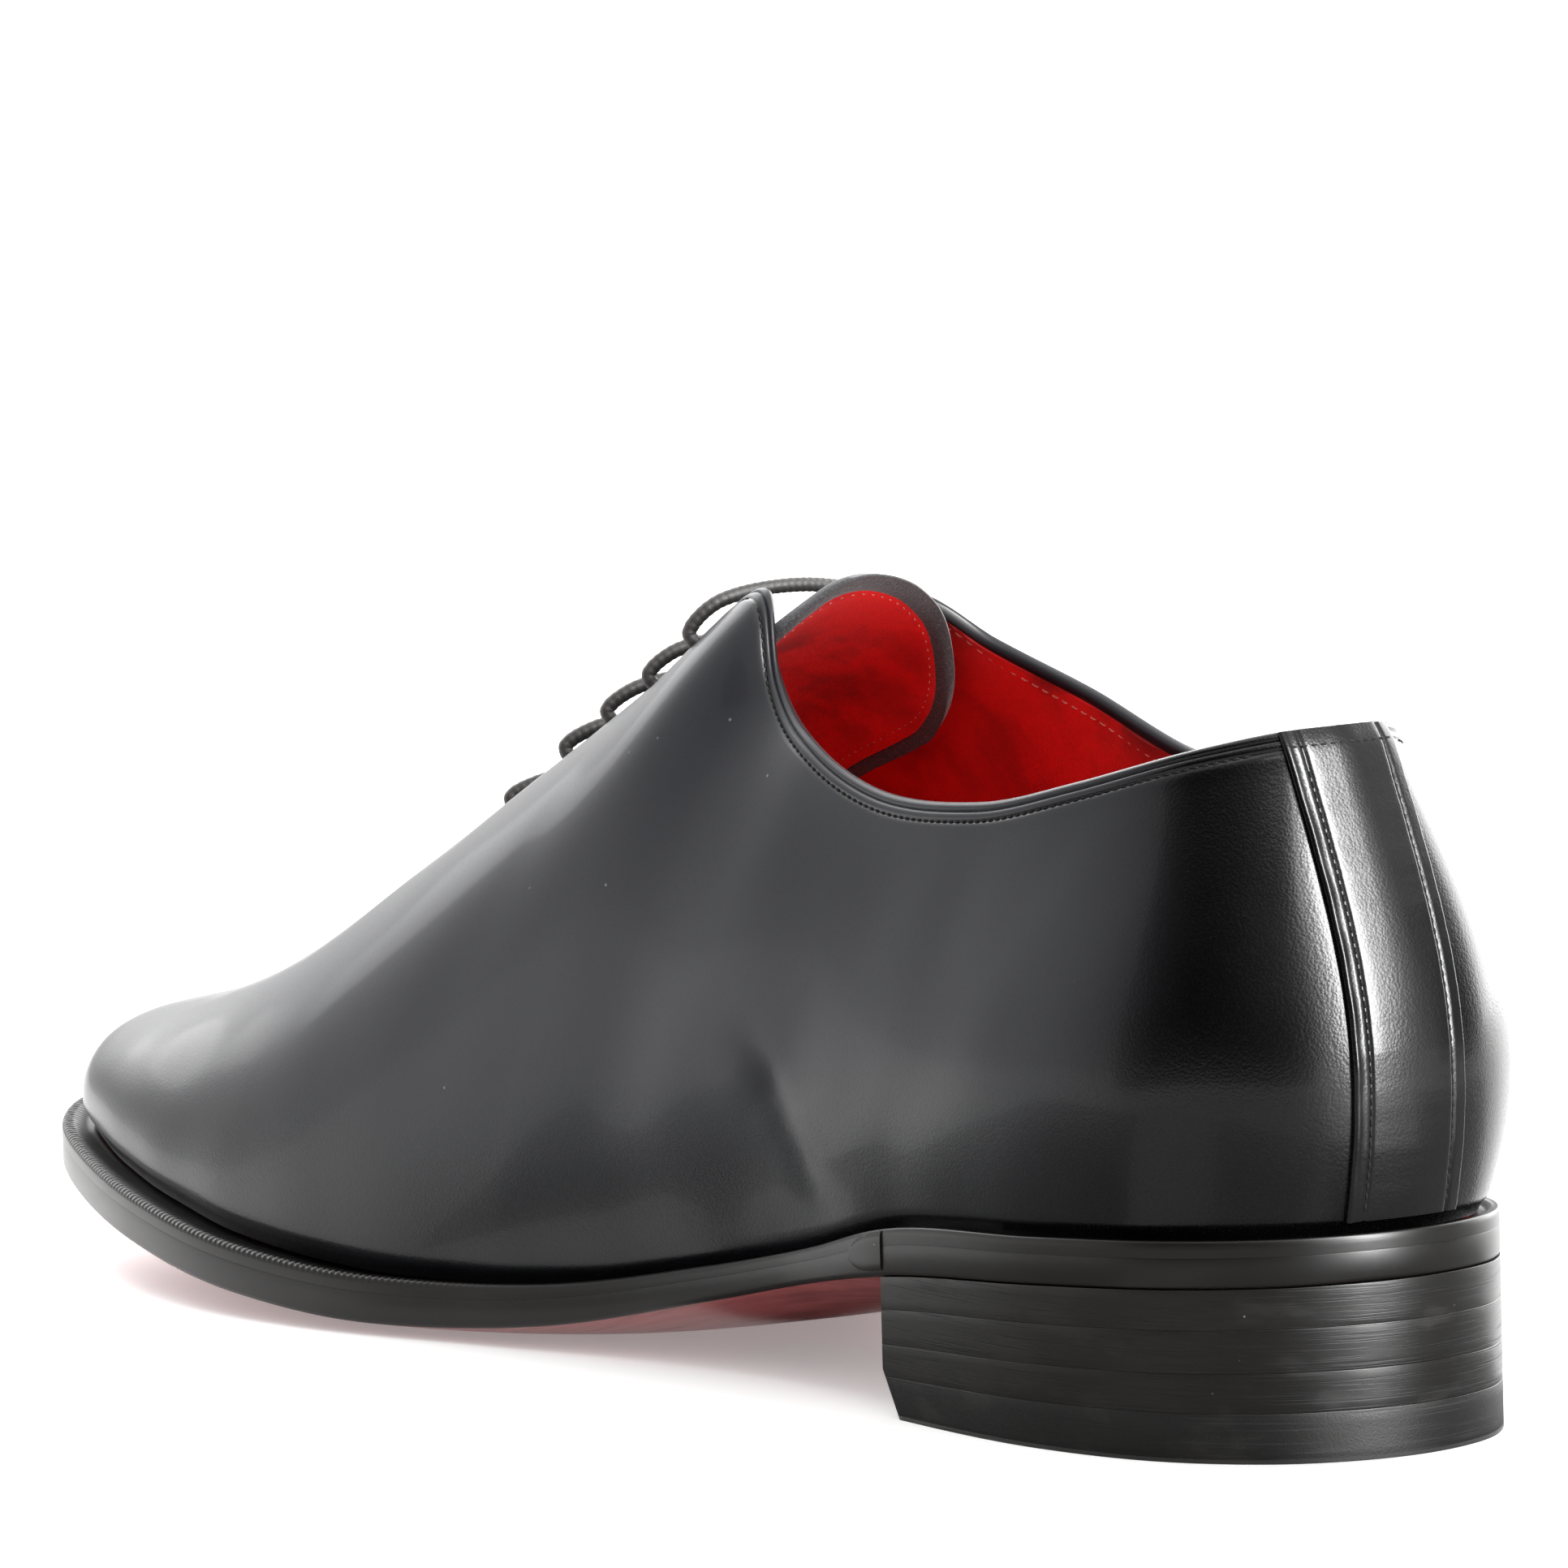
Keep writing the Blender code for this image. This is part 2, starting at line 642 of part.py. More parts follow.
# Back strip over the rear seam, an offset of the skin
signed = np.linspace(-STRIP_HALF, STRIP_HALF, 9)
strip_up = np.linspace(0.025, 0.99, 13)
layers = []
for height in (CLEAR, CLEAR + STRIP_THICK):
    grid = np.zeros((len(strip_up), len(signed), 3))
    for i, up in enumerate(strip_up):
        for side in (1, -1):
            shares = np.linspace(0, 0.12, 60)
            line = skin(side, shares, up)
            run = np.concatenate([[0], np.cumsum(np.linalg.norm(np.diff(line, axis=0), axis=1))])
            for j, reach in enumerate(signed):
                if reach * side > 0 or (reach == 0 and side > 0):
                    share = np.interp(abs(reach), run, shares)
                    spot, normal = lift_off(side, share, up, height)
                    if reach == 0:
                        spot[1] = 0
                    grid[i, j] = spot
    layers.append(grid)
shell("back_strip", layers[1], layers[0], UPPER_LEATHER)

# Tongue: under the facings, arched across the throat, rounded and free above them
tongue_rows = 16
side_columns = 5
columns = []
grids = []
for depth in (WALL + TONGUE_CLEAR, WALL + TONGUE_CLEAR + TONGUE_THICK):
    rows = []
    for row in np.linspace(0, 1, tongue_rows):
        line = []
        for side in (-1, 1):
            spots = []
            for column in np.linspace(1, 0, side_columns):
                reach = THROAT_END - THROAT_TOP - 0.005 + TONGUE_BACK * column**1.5
                share = THROAT_END + 0.01 - reach * row
                fall = skin(side, THROAT_TOP, 1.0)[2] - skin(side, min(share, THROAT_TOP), 1.0)[2]
                drop = TONGUE_SIDE * column * (1 - 0.25 * row**6) - max(0.0, fall)
                up = drop_from_edge(side, share, max(0.0, drop) + 0.0005)
                tucked = depth + TONGUE_TUCK * (1 - row) ** 3 + 0.0025 * max(0.0, row - 0.75) / 0.25
                spots.append(lift_off(side, share, up, -tucked)[0])
            line.append(spots)
        left, right = line[0], line[1]
        gap = np.linalg.norm(left[-1] - right[-1])
        lead = (left[-1] - left[-2]) / np.linalg.norm(left[-1] - left[-2]) * gap * 0.9
        tail = (right[-2] - right[-1]) / np.linalg.norm(right[-2] - right[-1]) * gap * 0.9
        bridge = []
        for t in np.linspace(0, 1, 6)[1:-1]:
            spot = (1 + 2 * t) * (1 - t) ** 2 * left[-1] + t * (1 - t) ** 2 * lead
            bridge.append(spot + t * t * (3 - 2 * t) * right[-1] - t * t * (1 - t) * tail)
        full = np.array(left + bridge + right[::-1])
        across = np.linspace(-1, 1, len(full))[:, None]
        free = TONGUE_ABOVE * max(0.0, (row - 0.8) / 0.2) * (1 - np.abs(across) ** 2.5)
        rows.append(full + free * np.array([[-0.894, 0, 0.447]]))
    grids.append(np.array(rows))
shell("tongue", grids[0], grids[1], LINING_SUEDE)

# Origin at the middle of the footprint
bpy.context.view_layer.update()
solids = [made for made in bpy.data.objects if not made.hide_render]
corners = np.array([made.matrix_world @ vertex.co for made in solids for vertex in made.data.vertices])
low = corners.min(axis=0)
high = corners.max(axis=0)
shift = np.array([(low[0] + high[0]) / 2, (low[1] + high[1]) / 2, low[2]])
for made in bpy.data.objects:
    for vertex in made.data.vertices:
        vertex.co = np.array(vertex.co) - shift
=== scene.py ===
"""Looks of a whole cut oxford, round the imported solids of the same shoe.

The file is laid out as an add-on: sizes and colours are properties, each piece has an operator.
+X is the toe, +Y the inner side of this right shoe, +Z up, in metres.
"""

import math

import bmesh
import bpy
import numpy as np
from bpy.props import FloatProperty, FloatVectorProperty, PointerProperty
from mathutils import Matrix, Vector


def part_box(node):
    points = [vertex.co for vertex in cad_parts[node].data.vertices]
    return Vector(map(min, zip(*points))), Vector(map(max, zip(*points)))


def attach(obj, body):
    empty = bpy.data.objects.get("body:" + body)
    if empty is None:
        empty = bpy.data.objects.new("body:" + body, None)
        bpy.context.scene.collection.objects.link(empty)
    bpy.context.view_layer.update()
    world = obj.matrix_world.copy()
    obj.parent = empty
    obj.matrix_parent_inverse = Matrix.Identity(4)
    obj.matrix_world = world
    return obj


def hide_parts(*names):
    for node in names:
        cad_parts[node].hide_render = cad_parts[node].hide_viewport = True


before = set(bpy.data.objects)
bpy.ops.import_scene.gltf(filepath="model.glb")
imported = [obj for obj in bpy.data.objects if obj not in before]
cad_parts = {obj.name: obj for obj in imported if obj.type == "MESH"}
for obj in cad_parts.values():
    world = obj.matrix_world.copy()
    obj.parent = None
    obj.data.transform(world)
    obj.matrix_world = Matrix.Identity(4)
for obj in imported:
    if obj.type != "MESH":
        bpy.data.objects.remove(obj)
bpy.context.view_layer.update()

bl_info = {
    "name": "Whole Cut Oxford",
    "version": (1, 0, 0),
    "blender": (4, 5, 0),
    "location": "3D View > Sidebar > Oxford",
    "description": "Leather, lining, laces, sole and studio of a whole cut oxford",
    "category": "Object",
}

# The last, the same named sizes as the solids
LENGTH = 0.306
BALL_WIDTH = 0.098
HEEL_RISE = 0.024
TOE_SPRING = 0.0160
INSTEP = 0.094
WALL = 0.002
SOLE_CROWN = 0.005
BREAST = 0.254
CLEAR = 0.0003
EDGE_HEEL = 0.0066
WELT_SHARE = 0.35
EYELET_INSET = 0.008
EYELET_RADIUS = 0.0016
THROAT_TOP = 0.545
THROAT_END = 0.750

# Plan of the sole: share of LENGTH, inner and outer side as shares of BALL_WIDTH
OUTLINE = (
    (0.000, 0.000, 0.000),
    (0.006, 0.105, -0.105),
    (0.022, 0.195, -0.195),
    (0.062, 0.290, -0.290),
    (0.136, 0.345, -0.345),
    (0.254, 0.330, -0.340),
    (0.358, 0.280, -0.350),
    (0.456, 0.297, -0.385),
    (0.554, 0.375, -0.445),
    (0.652, 0.460, -0.505),
    (0.732, 0.482, -0.515),
    (0.812, 0.450, -0.465),
    (0.885, 0.382, -0.378),
    (0.946, 0.298, -0.268),
    (0.972, 0.232, -0.194),
    (0.989, 0.156, -0.116),
    (0.998, 0.080, -0.040),
    (1.000, 0.020, 0.020),
)

# Underside: share of LENGTH, shares of HEEL_RISE and TOE_SPRING, edge thickness as a share of
# EDGE_HEEL, crown of the underside as a share of SOLE_CROWN
PROFILE = (
    (0.000, 1.000, 0.00, 1.00, 1.00),
    (0.130, 0.925, 0.00, 1.00, 1.00),
    (0.254, 0.800, 0.00, 1.00, 1.00),
    (0.326, 0.650, 0.00, 0.76, 1.00),
    (0.420, 0.400, 0.00, 0.78, 0.90),
    (0.520, 0.150, 0.00, 0.92, 0.60),
    (0.620, 0.030, 0.06, 1.06, 0.45),
    (0.710, 0.000, 0.22, 1.08, 0.40),
    (0.810, 0.000, 0.45, 1.08, 0.35),
    (0.910, 0.000, 0.70, 1.04, 0.30),
    (1.000, 0.000, 1.00, 0.94, 0.20),
)

# Welt shown beyond the upper: share of LENGTH, metres
MARGIN = (
    (0.00, 0.0018),
    (0.10, 0.0018),
    (0.25, 0.0014),
    (0.36, 0.0010),
    (0.45, 0.0015),
    (0.55, 0.0030),
    (0.65, 0.0045),
    (0.80, 0.0050),
    (0.90, 0.0042),
    (1.00, 0.0034),
)

# Top line, throat and vamp ridge: share of the way from heel to toe, share of LENGTH, inner and
# outer side as shares of BALL_WIDTH, their heights over the seat as shares of INSTEP
TOP = (
    (0.000, 0.045, 0.000, 0.000, 0.720, 0.720),
    (0.060, 0.052, 0.092, -0.092, 0.716, 0.716),
    (0.120, 0.078, 0.173, -0.173, 0.695, 0.695),
    (0.200, 0.137, 0.240, -0.245, 0.649, 0.649),
    (0.280, 0.202, 0.265, -0.275, 0.615, 0.622),
    (0.360, 0.270, 0.265, -0.280, 0.641, 0.657),
    (0.430, 0.332, 0.243, -0.245, 0.741, 0.782),
    (0.500, 0.384, 0.189, -0.185, 0.863, 0.888),
    (0.545, 0.411, 0.148, -0.092, 1.000, 0.978),
    (0.600, 0.482, 0.107, -0.051, 0.930, 0.930),
    (0.660, 0.560, 0.077, -0.015, 0.820, 0.820),
    (0.720, 0.642, 0.045, 0.020, 0.671, 0.671),
    (0.750, 0.682, 0.036, 0.036, 0.585, 0.585),
    (0.780, 0.723, 0.036, 0.036, 0.494, 0.494),
    (0.840, 0.803, 0.038, 0.038, 0.344, 0.344),
    (0.900, 0.862, 0.040, 0.040, 0.262, 0.262),
    (0.950, 0.905, 0.042, 0.042, 0.213, 0.213),
    (1.000, 0.940, 0.042, 0.042, 0.163, 0.163),
)

# Fullness of the last: share of the way from heel to toe; lean of the wall at the feather on the
# inner and outer side in degrees, its reach; lean in from the top edge, its reach
FULLNESS = (
    (0.000, 14, 14, 0.30, 24, 0.30),
    (0.060, 15, 18, 0.30, 24, 0.30),
    (0.120, 15, 24, 0.29, 22, 0.29),
    (0.200, 14, 26, 0.27, 18, 0.28),
    (0.280, 13, 22, 0.25, 15, 0.27),
    (0.360, 18, 20, 0.24, 20, 0.25),
    (0.430, 22, 22, 0.24, 34, 0.24),
    (0.500, 18, 18, 0.24, 48, 0.26),
    (0.545, 15, 15, 0.24, 58, 0.30),
    (0.600, 11, 11, 0.24, 65, 0.33),
    (0.660, 8, 8, 0.22, 70, 0.33),
    (0.720, 5, 5, 0.20, 76, 0.30),
    (0.780, 5, 5, 0.16, 80, 0.28),
    (0.840, 10, 10, 0.14, 82, 0.26),
    (0.900, 18, 18, 0.12, 84, 0.20),
    (0.950, 25, 25, 0.12, 83, 0.17),
    (1.000, 30, 30, 0.12, 81, 0.15),
)

# Heel stack, as shares of the height under the outsole, floor up
STACK = (
    ("top_piece", 0.000, 0.288),
    ("heel_lift_3", 0.288, 0.517),
    ("heel_lift_2", 0.517, 0.767),
    ("heel_lift_1", 0.767, 1.000),
)

# Lace rows: share of the way from heel to toe, height of the arch over the throat
LACES = (
    (0.573, 0.0022),
    (0.603, 0.0018),
    (0.634, 0.0018),
    (0.665, 0.0014),
    (0.706, 0.0014),
)

# Soft creases and swellings on the inner side: start and end as shares of LENGTH, BALL_WIDTH and
# INSTEP from the heel's back, the middle and the floor; depth, width, in metres
CREASES = (
    ((0.343, 0.32, 0.47), (0.317, 0.31, 0.33), 0.00065, 0.0028),
    ((0.360, 0.32, 0.53), (0.339, 0.32, 0.45), 0.00022, 0.0045),
    ((0.352, 0.32, 0.40), (0.335, 0.31, 0.30), -0.00012, 0.0070),
    ((0.300, 0.33, 0.46), (0.285, 0.33, 0.36), -0.00015, 0.0080),
)


def flowing(table, column, at):
    """A column of a table as a curve through all its rows."""
    x = np.array([row[0] for row in table], float)
    y = np.array([row[column] for row in table], float)
    slope = np.gradient(y, x)
    step = np.diff(x)
    at = np.asarray(at, float)
    i = np.clip(np.searchsorted(x, at) - 1, 0, len(step) - 1)
    t = np.clip((at - x[i]) / step[i], 0, 1)
    start = (1 + 2 * t) * (1 - t) ** 2 * y[i] + t * (1 - t) ** 2 * step[i] * slope[i]
    return start + t * t * (3 - 2 * t) * y[i + 1] - t * t * (1 - t) * step[i] * slope[i + 1]


def unit(vectors):
    """Vectors brought to length 1."""
    return vectors / np.linalg.norm(vectors, axis=-1, keepdims=True)


def run_length(line):
    """Distances along a line of points from its first one."""
    return np.concatenate([[0], np.cumsum(np.linalg.norm(np.diff(line, axis=0), axis=1))])


def run_lengths(lines):
    """The same for each row of a grid of points."""
    return np.array([run_length(line) for line in lines])


def points_at(line, run, at):
    """What a line of points holds at the places `at`, where `run` is the place of each point."""
    return np.stack([np.interp(at, run, column) for column in line.T], -1)


def side_curve(side, count=2400):
    """One side of the outline from the heel's back to the toe tip, evenly spaced, with outward normals."""
    own = 1 if side > 0 else 2
    other = 3 - own
    rows = [(OUTLINE[1][0], OUTLINE[1][other])]
    rows += [(row[0], row[own]) for row in OUTLINE]
    rows += [(OUTLINE[-2][0], OUTLINE[-2][other])]
    knots = np.array(rows) * (LENGTH, BALL_WIDTH)
    hops = np.sqrt(np.linalg.norm(np.diff(knots, axis=0), axis=1))
    mark = np.concatenate([[0], np.cumsum(hops)])
    table = np.column_stack([mark, knots])
    fine = np.linspace(mark[1], mark[-2], 3000)
    curve = np.stack([flowing(table, 1, fine), flowing(table, 2, fine)], 1)
    run = run_length(curve)
    curve = points_at(curve, run, np.linspace(0, run[-1], count))
    along = unit(np.gradient(curve, axis=0))
    out = np.stack([-along[:, 1], along[:, 0]], 1) * side
    out[0] = (-1, 0)
    out[-1] = (1, 0)
    return curve, out


SIDES = {1: side_curve(1), -1: side_curve(-1)}
SOLE_LOW, SOLE_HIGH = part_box("outsole")
PLAN = np.concatenate([SIDES[1][0], SIDES[-1][0]])
TO_ROW = np.array([
    SOLE_LOW.x - PLAN[:, 0].min(),
    (SOLE_LOW.y + SOLE_HIGH.y - PLAN[:, 1].min() - PLAN[:, 1].max()) / 2,
    0.0,
])


def outline(side, share, inset=0.0):
    """Plan points of the sole's edge, moved in by `inset`, and the outward direction there."""
    mark = np.linspace(0, 1, len(SIDES[side][0]))
    plan, outward = [points_at(values, mark, share) for values in SIDES[side]]
    outward = unit(outward)
    return plan - outward * np.asarray(inset)[..., None], outward


def share_at(side, x):
    """How far along one side the outline reaches this share of LENGTH."""
    curve = SIDES[side][0]
    widest = np.argmax(curve[:, 0])
    return float(np.interp(x * LENGTH, curve[:widest, 0], np.linspace(0, 1, len(curve))[:widest]))


def underside(x):
    """Height of the outsole's lower edge."""
    at = np.asarray(x) / LENGTH
    return HEEL_RISE * flowing(PROFILE, 1, at) + TOE_SPRING * flowing(PROFILE, 2, at)


def edge_thick(x):
    return EDGE_HEEL * flowing(PROFILE, 3, np.asarray(x) / LENGTH)


def seat(x):
    """Height of the welt's top, on which the upper stands."""
    return underside(x) + edge_thick(x)


def outsole_top(x):
    return underside(x) + edge_thick(x) * (1 - WELT_SHARE)


def margin(x):
    return flowing(MARGIN, 1, np.asarray(x) / LENGTH)


def skin(side, share, up):
    """Outer face of the upper: one side, share of the way to the toe, share of the way up."""
    share, up = np.broadcast_arrays(np.asarray(share, float), np.asarray(up, float))
    flat = share.ravel()
    rise = up.ravel()[:, None]
    edge = outline(side, flat)[0]
    plan, outward = outline(side, flat, margin(edge[:, 0]))
    foot = np.column_stack([plan, seat(plan[:, 0]) + CLEAR])
    outer = (side < 0) & (flat < THROAT_END)
    x = LENGTH * flowing(TOP, 1, flat)
    y = BALL_WIDTH * np.where(outer, flowing(TOP, 3, flat), flowing(TOP, 2, flat))
    tall = INSTEP * np.where(outer, flowing(TOP, 5, flat), flowing(TOP, 4, flat))
    head = np.column_stack([x, y, seat(x) + tall])
    low = np.radians(flowing(FULLNESS, 1 if side > 0 else 2, flat))[:, None]
    high = np.radians(flowing(FULLNESS, 4, flat))[:, None]
    low_reach = INSTEP * flowing(FULLNESS, 3, flat)[:, None]
    high_reach = INSTEP * flowing(FULLNESS, 5, flat)[:, None]
    fall = unit((foot - head)[:, :2])
    turn = np.interp(flat, (0, 0.5, 0.7, 0.9, 1), (0, 0.2, 0.6, 0.8, 1))[:, None]
    drop = unit(outward * (1 - turn) + fall * turn)
    upward = np.array([[0, 0, 1.0]])
    wide = np.column_stack([outward, np.zeros(len(flat))])
    away = np.column_stack([drop, np.zeros(len(flat))])
    lower = foot + low_reach * (wide * np.sin(low) + upward * np.cos(low))
    upper = head + high_reach * (away * np.sin(high) - upward * np.cos(high))
    point = foot * (1 - rise) ** 3 + 3 * lower * rise * (1 - rise) ** 2
    point = point + 3 * upper * rise**2 * (1 - rise) + head * rise**3
    return point.reshape(share.shape + (3,))


def lift_off(side, share, up, distance):
    """A point at a distance outside the skin, or inside it where the distance is negative."""
    step = 0.002
    along = skin(side, np.minimum(share + step, 1), up) - skin(side, np.maximum(share - step, 0), up)
    rise = skin(side, share, np.minimum(up + step, 1)) - skin(side, share, np.maximum(up - step, 0))
    normal = unit(np.cross(rise, along) * side)
    return skin(side, share, up) + normal * np.asarray(distance)[..., None], normal


def runs_down(side, shares, count=160):
    """Shares of the way up, and at each station the distances down from the top edge."""
    up = np.linspace(1, 0, count)
    return up, run_lengths(skin(side, np.reshape(shares, (-1, 1)), up[None, :]))


def drops_from_edge(side, shares, distances):
    """Shares of the way up the skin that lie these distances below the top edge, a row per station."""
    up, run = runs_down(side, shares)
    return np.array([np.interp(d, r, up) for d, r in zip(distances, run)])


def drop_from_edge(side, share, distance):
    return float(drops_from_edge(side, [share], [distance])[0])


def bell(value, width):
    return np.exp(-((value / width) ** 2))


def smooth(value, start, end):
    """0 before start, 1 after end, and a soft step between."""
    t = np.clip((np.asarray(value, float) - start) / (end - start), 0, 1)
    return t * t * (3 - 2 * t)


def smooth_curve(knots, count):
    """Even points on a curve through all the knots."""
    hops = np.linalg.norm(np.diff(knots[:, :3], axis=0), axis=1) ** 0.5
    mark = np.concatenate([[0], np.cumsum(hops)])
    table = np.column_stack([mark, knots])
    fine = np.linspace(0, mark[-1], 12 * len(knots))
    line = np.stack([flowing(table, k + 1, fine) for k in range(knots.shape[1])], 1)
    run = run_length(line[:, :3])
    return points_at(line, run, np.linspace(0, run[-1], count))


# Sizes and colours


def length(label, about, metres):
    return FloatProperty(name=label, description=about, default=metres, unit="LENGTH")


def colour(label, about, *shade):
    return FloatVectorProperty(name=label, description=about, subtype="COLOR", size=4, default=(*shade, 1))


class OxfordSizes(bpy.types.PropertyGroup):
    """Sizes of the visible work on the shoe."""

    edge_fold: length("Edge fold", "Width of the folded edge above its crease", 0.0014)
    edge_stitch: length("Edge stitch", "Distance of the stitches below the top edge", 0.0029)
    stitch_pitch: length("Stitch pitch", "From one stitch to the next", 0.00145)
    stitch_radius: length("Thread radius", "Half the thickness of the thread", 0.00017)
    notch_pitch: length("Wheel pitch", "From one wheeled notch of the welt to the next", 0.00118)
    notch_depth: length("Wheel depth", "Depth of the wheeled notches", 0.00026)
    lace_radius: length("Lace radius", "Half the thickness of the round lace", 0.00102)
    grain: length("Grain", "Size of one pebble of the calf's grain", 0.00042)
    lining_edge: length("Lining edge", "Distance of the lining below the top edge", 0.0019)
    tongue_border: length("Tongue border", "Width of the dark border round the tongue's lining", 0.0027)


class OxfordColours(bpy.types.PropertyGroup):
    """Colours of the shoe's materials."""

    calf: colour("Calf", "The calf where it isn't burnished", 0.0135, 0.0140, 0.0185)
    # The burnish black also paints shade: by the joint with the welt, along the back strip's edges, in the
    # grain's creases
    burnish_and_shade: colour("Burnish", "The calf where it is burnished", 0.0008, 0.0008, 0.0009)
    lining: colour("Lining", "Red lining, sock and tongue lining", 0.86, 0.006, 0.005)
    sole: colour("Sole", "Painted underside", 0.24, 0.045, 0.045)
    edge: colour("Edge", "Dressed sole edge and heel", 0.0060, 0.0048, 0.0042)
    cord: colour("Cord", "Waxed lace", 0.026, 0.021, 0.019)


def sizes():
    return bpy.context.scene.oxford_sizes


def colours():
    return bpy.context.scene.oxford_colours


# Shader nodes


def group(name, inputs, outputs):
    """An empty shader group with float and vector sockets, and its two end nodes."""
    made = bpy.data.node_groups.new(name, "ShaderNodeTree")
    for kind, sockets in (("INPUT", inputs), ("OUTPUT", outputs)):
        for label, sort, default in sockets:
            socket = made.interface.new_socket(label, in_out=kind, socket_type="NodeSocket" + sort)
            if default is not None:
                socket.default_value = default
    return made, made.nodes.new("NodeGroupInput"), made.nodes.new("NodeGroupOutput")


def put(tree, socket, value):
    """Links a socket to another one, or gives it a value."""
    if isinstance(value, bpy.types.NodeSocket):
        tree.links.new(value, socket)
    else:
        socket.default_value = value


def feed(tree, node, **values):
    """Fills inputs of a node by their names, with an underscore for a space."""
    for name, value in values.items():
        put(tree, node.inputs[name.replace("_", " ")], value)


def add(tree, kind, **values):
    """A node. Names in small letters are its settings, the others its inputs."""
    node = tree.nodes.new("ShaderNode" + kind)
    for name, value in values.items():
        if name.islower():
            setattr(node, name, value)
        else:
            feed(tree, node, **{name: value})
    return node


def maths(tree, operation, *values, clamp=False):
    """The result of a sum."""
    node = add(tree, "Math", operation=operation, use_clamp=clamp)
    for socket, value in zip(node.inputs, values):
        put(tree, socket, value)
    return node.outputs[0]


def scaled(tree, value, by, plus=None):
    """A value times a number, with another number added."""
    result = maths(tree, "MULTIPLY", value, by)
    return result if plus is None else maths(tree, "ADD", result, plus)


def ramp(tree, value, low, high):
    """A soft step of a value from low to high."""
    node = add(tree, "MapRange", interpolation_type="SMOOTHSTEP", Value=value, From_Min=low, From_Max=high)
    return node.outputs["Result"]


def blend(tree, factor, first, second):
    """A colour mix. Each colour is a socket or four numbers."""
    node = add(tree, "Mix", data_type="RGBA", Factor=factor)
    for label, value in (("A", first), ("B", second)):
        put(tree, [s for s in node.inputs if s.name == label and s.type == "RGBA"][0], value)
    return [s for s in node.outputs if s.type == "RGBA"][0]


def noise(tree, where, scale, detail=2.0):
    """The value of a cloud of noise."""
    return add(tree, "TexNoise", Vector=where, Scale=scale, Detail=detail).outputs["Fac"]


def mapped(tree, where, stretch):
    return add(tree, "Mapping", Vector=where, Scale=stretch).outputs["Vector"]


def place(tree, stretch=(1, 1, 1)):
    """Object coordinates, stretched."""
    return mapped(tree, add(tree, "TexCoord").outputs["Object"], stretch)


def carried(tree, name):
    """A value that the mesh carries at its points."""
    return add(tree, "Attribute", attribute_name=name).outputs["Fac"]


def bump(tree, height, distance, strength):
    """Directions of a surface raised by a height."""
    return add(tree, "Bump", Height=height, Distance=distance, Strength=strength).outputs["Normal"]


# Shader groups that materials share


def grain_group():
    """Pebbled leather: height, and a mask that is 1 in the creases between pebbles."""
    tree, start, end = group(
        "Leather grain",
        [("Vector", "Vector", None), ("Pebble", "Float", 2400.0), ("Wrinkle", "Float", 0.3)],
        [("Height", "Float", None), ("Creases", "Float", None)],
    )
    where = start.outputs["Vector"]
    warp = add(tree, "TexNoise", Vector=where, Scale=900.0, Detail=1.0)
    bent = add(tree, "VectorMath", operation="MULTIPLY_ADD")
    for socket, value in zip(bent.inputs, (warp.outputs["Color"], (0.0003, 0.0003, 0.0003), where)):
        put(tree, socket, value)
    cells = add(tree, "TexVoronoi", Vector=bent.outputs[0], Scale=start.outputs["Pebble"])
    gap = cells.outputs["Distance"]
    folds = maths(tree, "MULTIPLY", noise(tree, where, 700.0), start.outputs["Wrinkle"])
    height = maths(tree, "ADD", maths(tree, "SUBTRACT", 1.0, gap), folds)
    feed(tree, end, Height=height, Creases=ramp(tree, gap, 0.45, 0.85))
    return tree


def dust_group():
    """Sparse pale specks: a mask."""
    tree, start, end = group(
        "Dust",
        [("Vector", "Vector", None), ("Density", "Float", 220.0), ("Amount", "Float", 0.5)],
        [("Mask", "Float", None)],
    )
    cells = add(tree, "TexVoronoi", Vector=start.outputs["Vector"], Scale=start.outputs["Density"])
    near = add(tree, "MapRange", clamp=True, Value=cells.outputs["Distance"], From_Min=0.05, From_Max=0.02)
    split = add(tree, "SeparateColor", Color=cells.outputs["Color"])
    few = maths(tree, "GREATER_THAN", split.outputs["Red"], 0.72)
    some = maths(tree, "MULTIPLY", near.outputs["Result"], few)
    feed(tree, end, Mask=maths(tree, "MULTIPLY", some, start.outputs["Amount"]))
    return tree


def scratch_group():
    """Fine level scratches and rubbed patches of a dressed edge: two masks."""
    tree, start, end = group(
        "Edge scratches",
        [("Vector", "Vector", None), ("Fineness", "Float", 1.0)],
        [("Scratches", "Float", None), ("Patches", "Float", None)],
    )
    where = start.outputs["Vector"]
    lines = noise(tree, mapped(tree, where, (60, 60, 4200)), start.outputs["Fineness"], 3.0)
    broad = noise(tree, mapped(tree, where, (90, 90, 220)), 1.0, 4.0)
    feed(tree, end, Scratches=ramp(tree, lines, 0.52, 0.72), Patches=ramp(tree, broad, 0.50, 0.68))
    return tree


GROUP_MAKERS = {"Leather grain": grain_group, "Dust": dust_group, "Edge scratches": scratch_group}
GROUPS = {}


def use(tree, name, where, **values):
    """A shared group placed in a material, with its own values."""
    if name not in GROUPS:
        GROUPS[name] = GROUP_MAKERS[name]()
    return add(tree, "Group", node_tree=GROUPS[name], Vector=where, **values)


# Materials


def finish(name, roughness, coat=0.0, coat_roughness=0.2, sheen=0.0, specular=0.5):
    """A material, its tree and its Principled node, with the values that are the same all over."""
    made = bpy.data.materials.new(name)
    made.use_nodes = True
    tree = made.node_tree
    face = tree.nodes["Principled BSDF"]
    feed(tree, face, Roughness=roughness, Coat_Weight=coat, Coat_Roughness=coat_roughness)
    feed(tree, face, Sheen_Weight=sheen, Specular_IOR_Level=specular)
    return made, tree, face


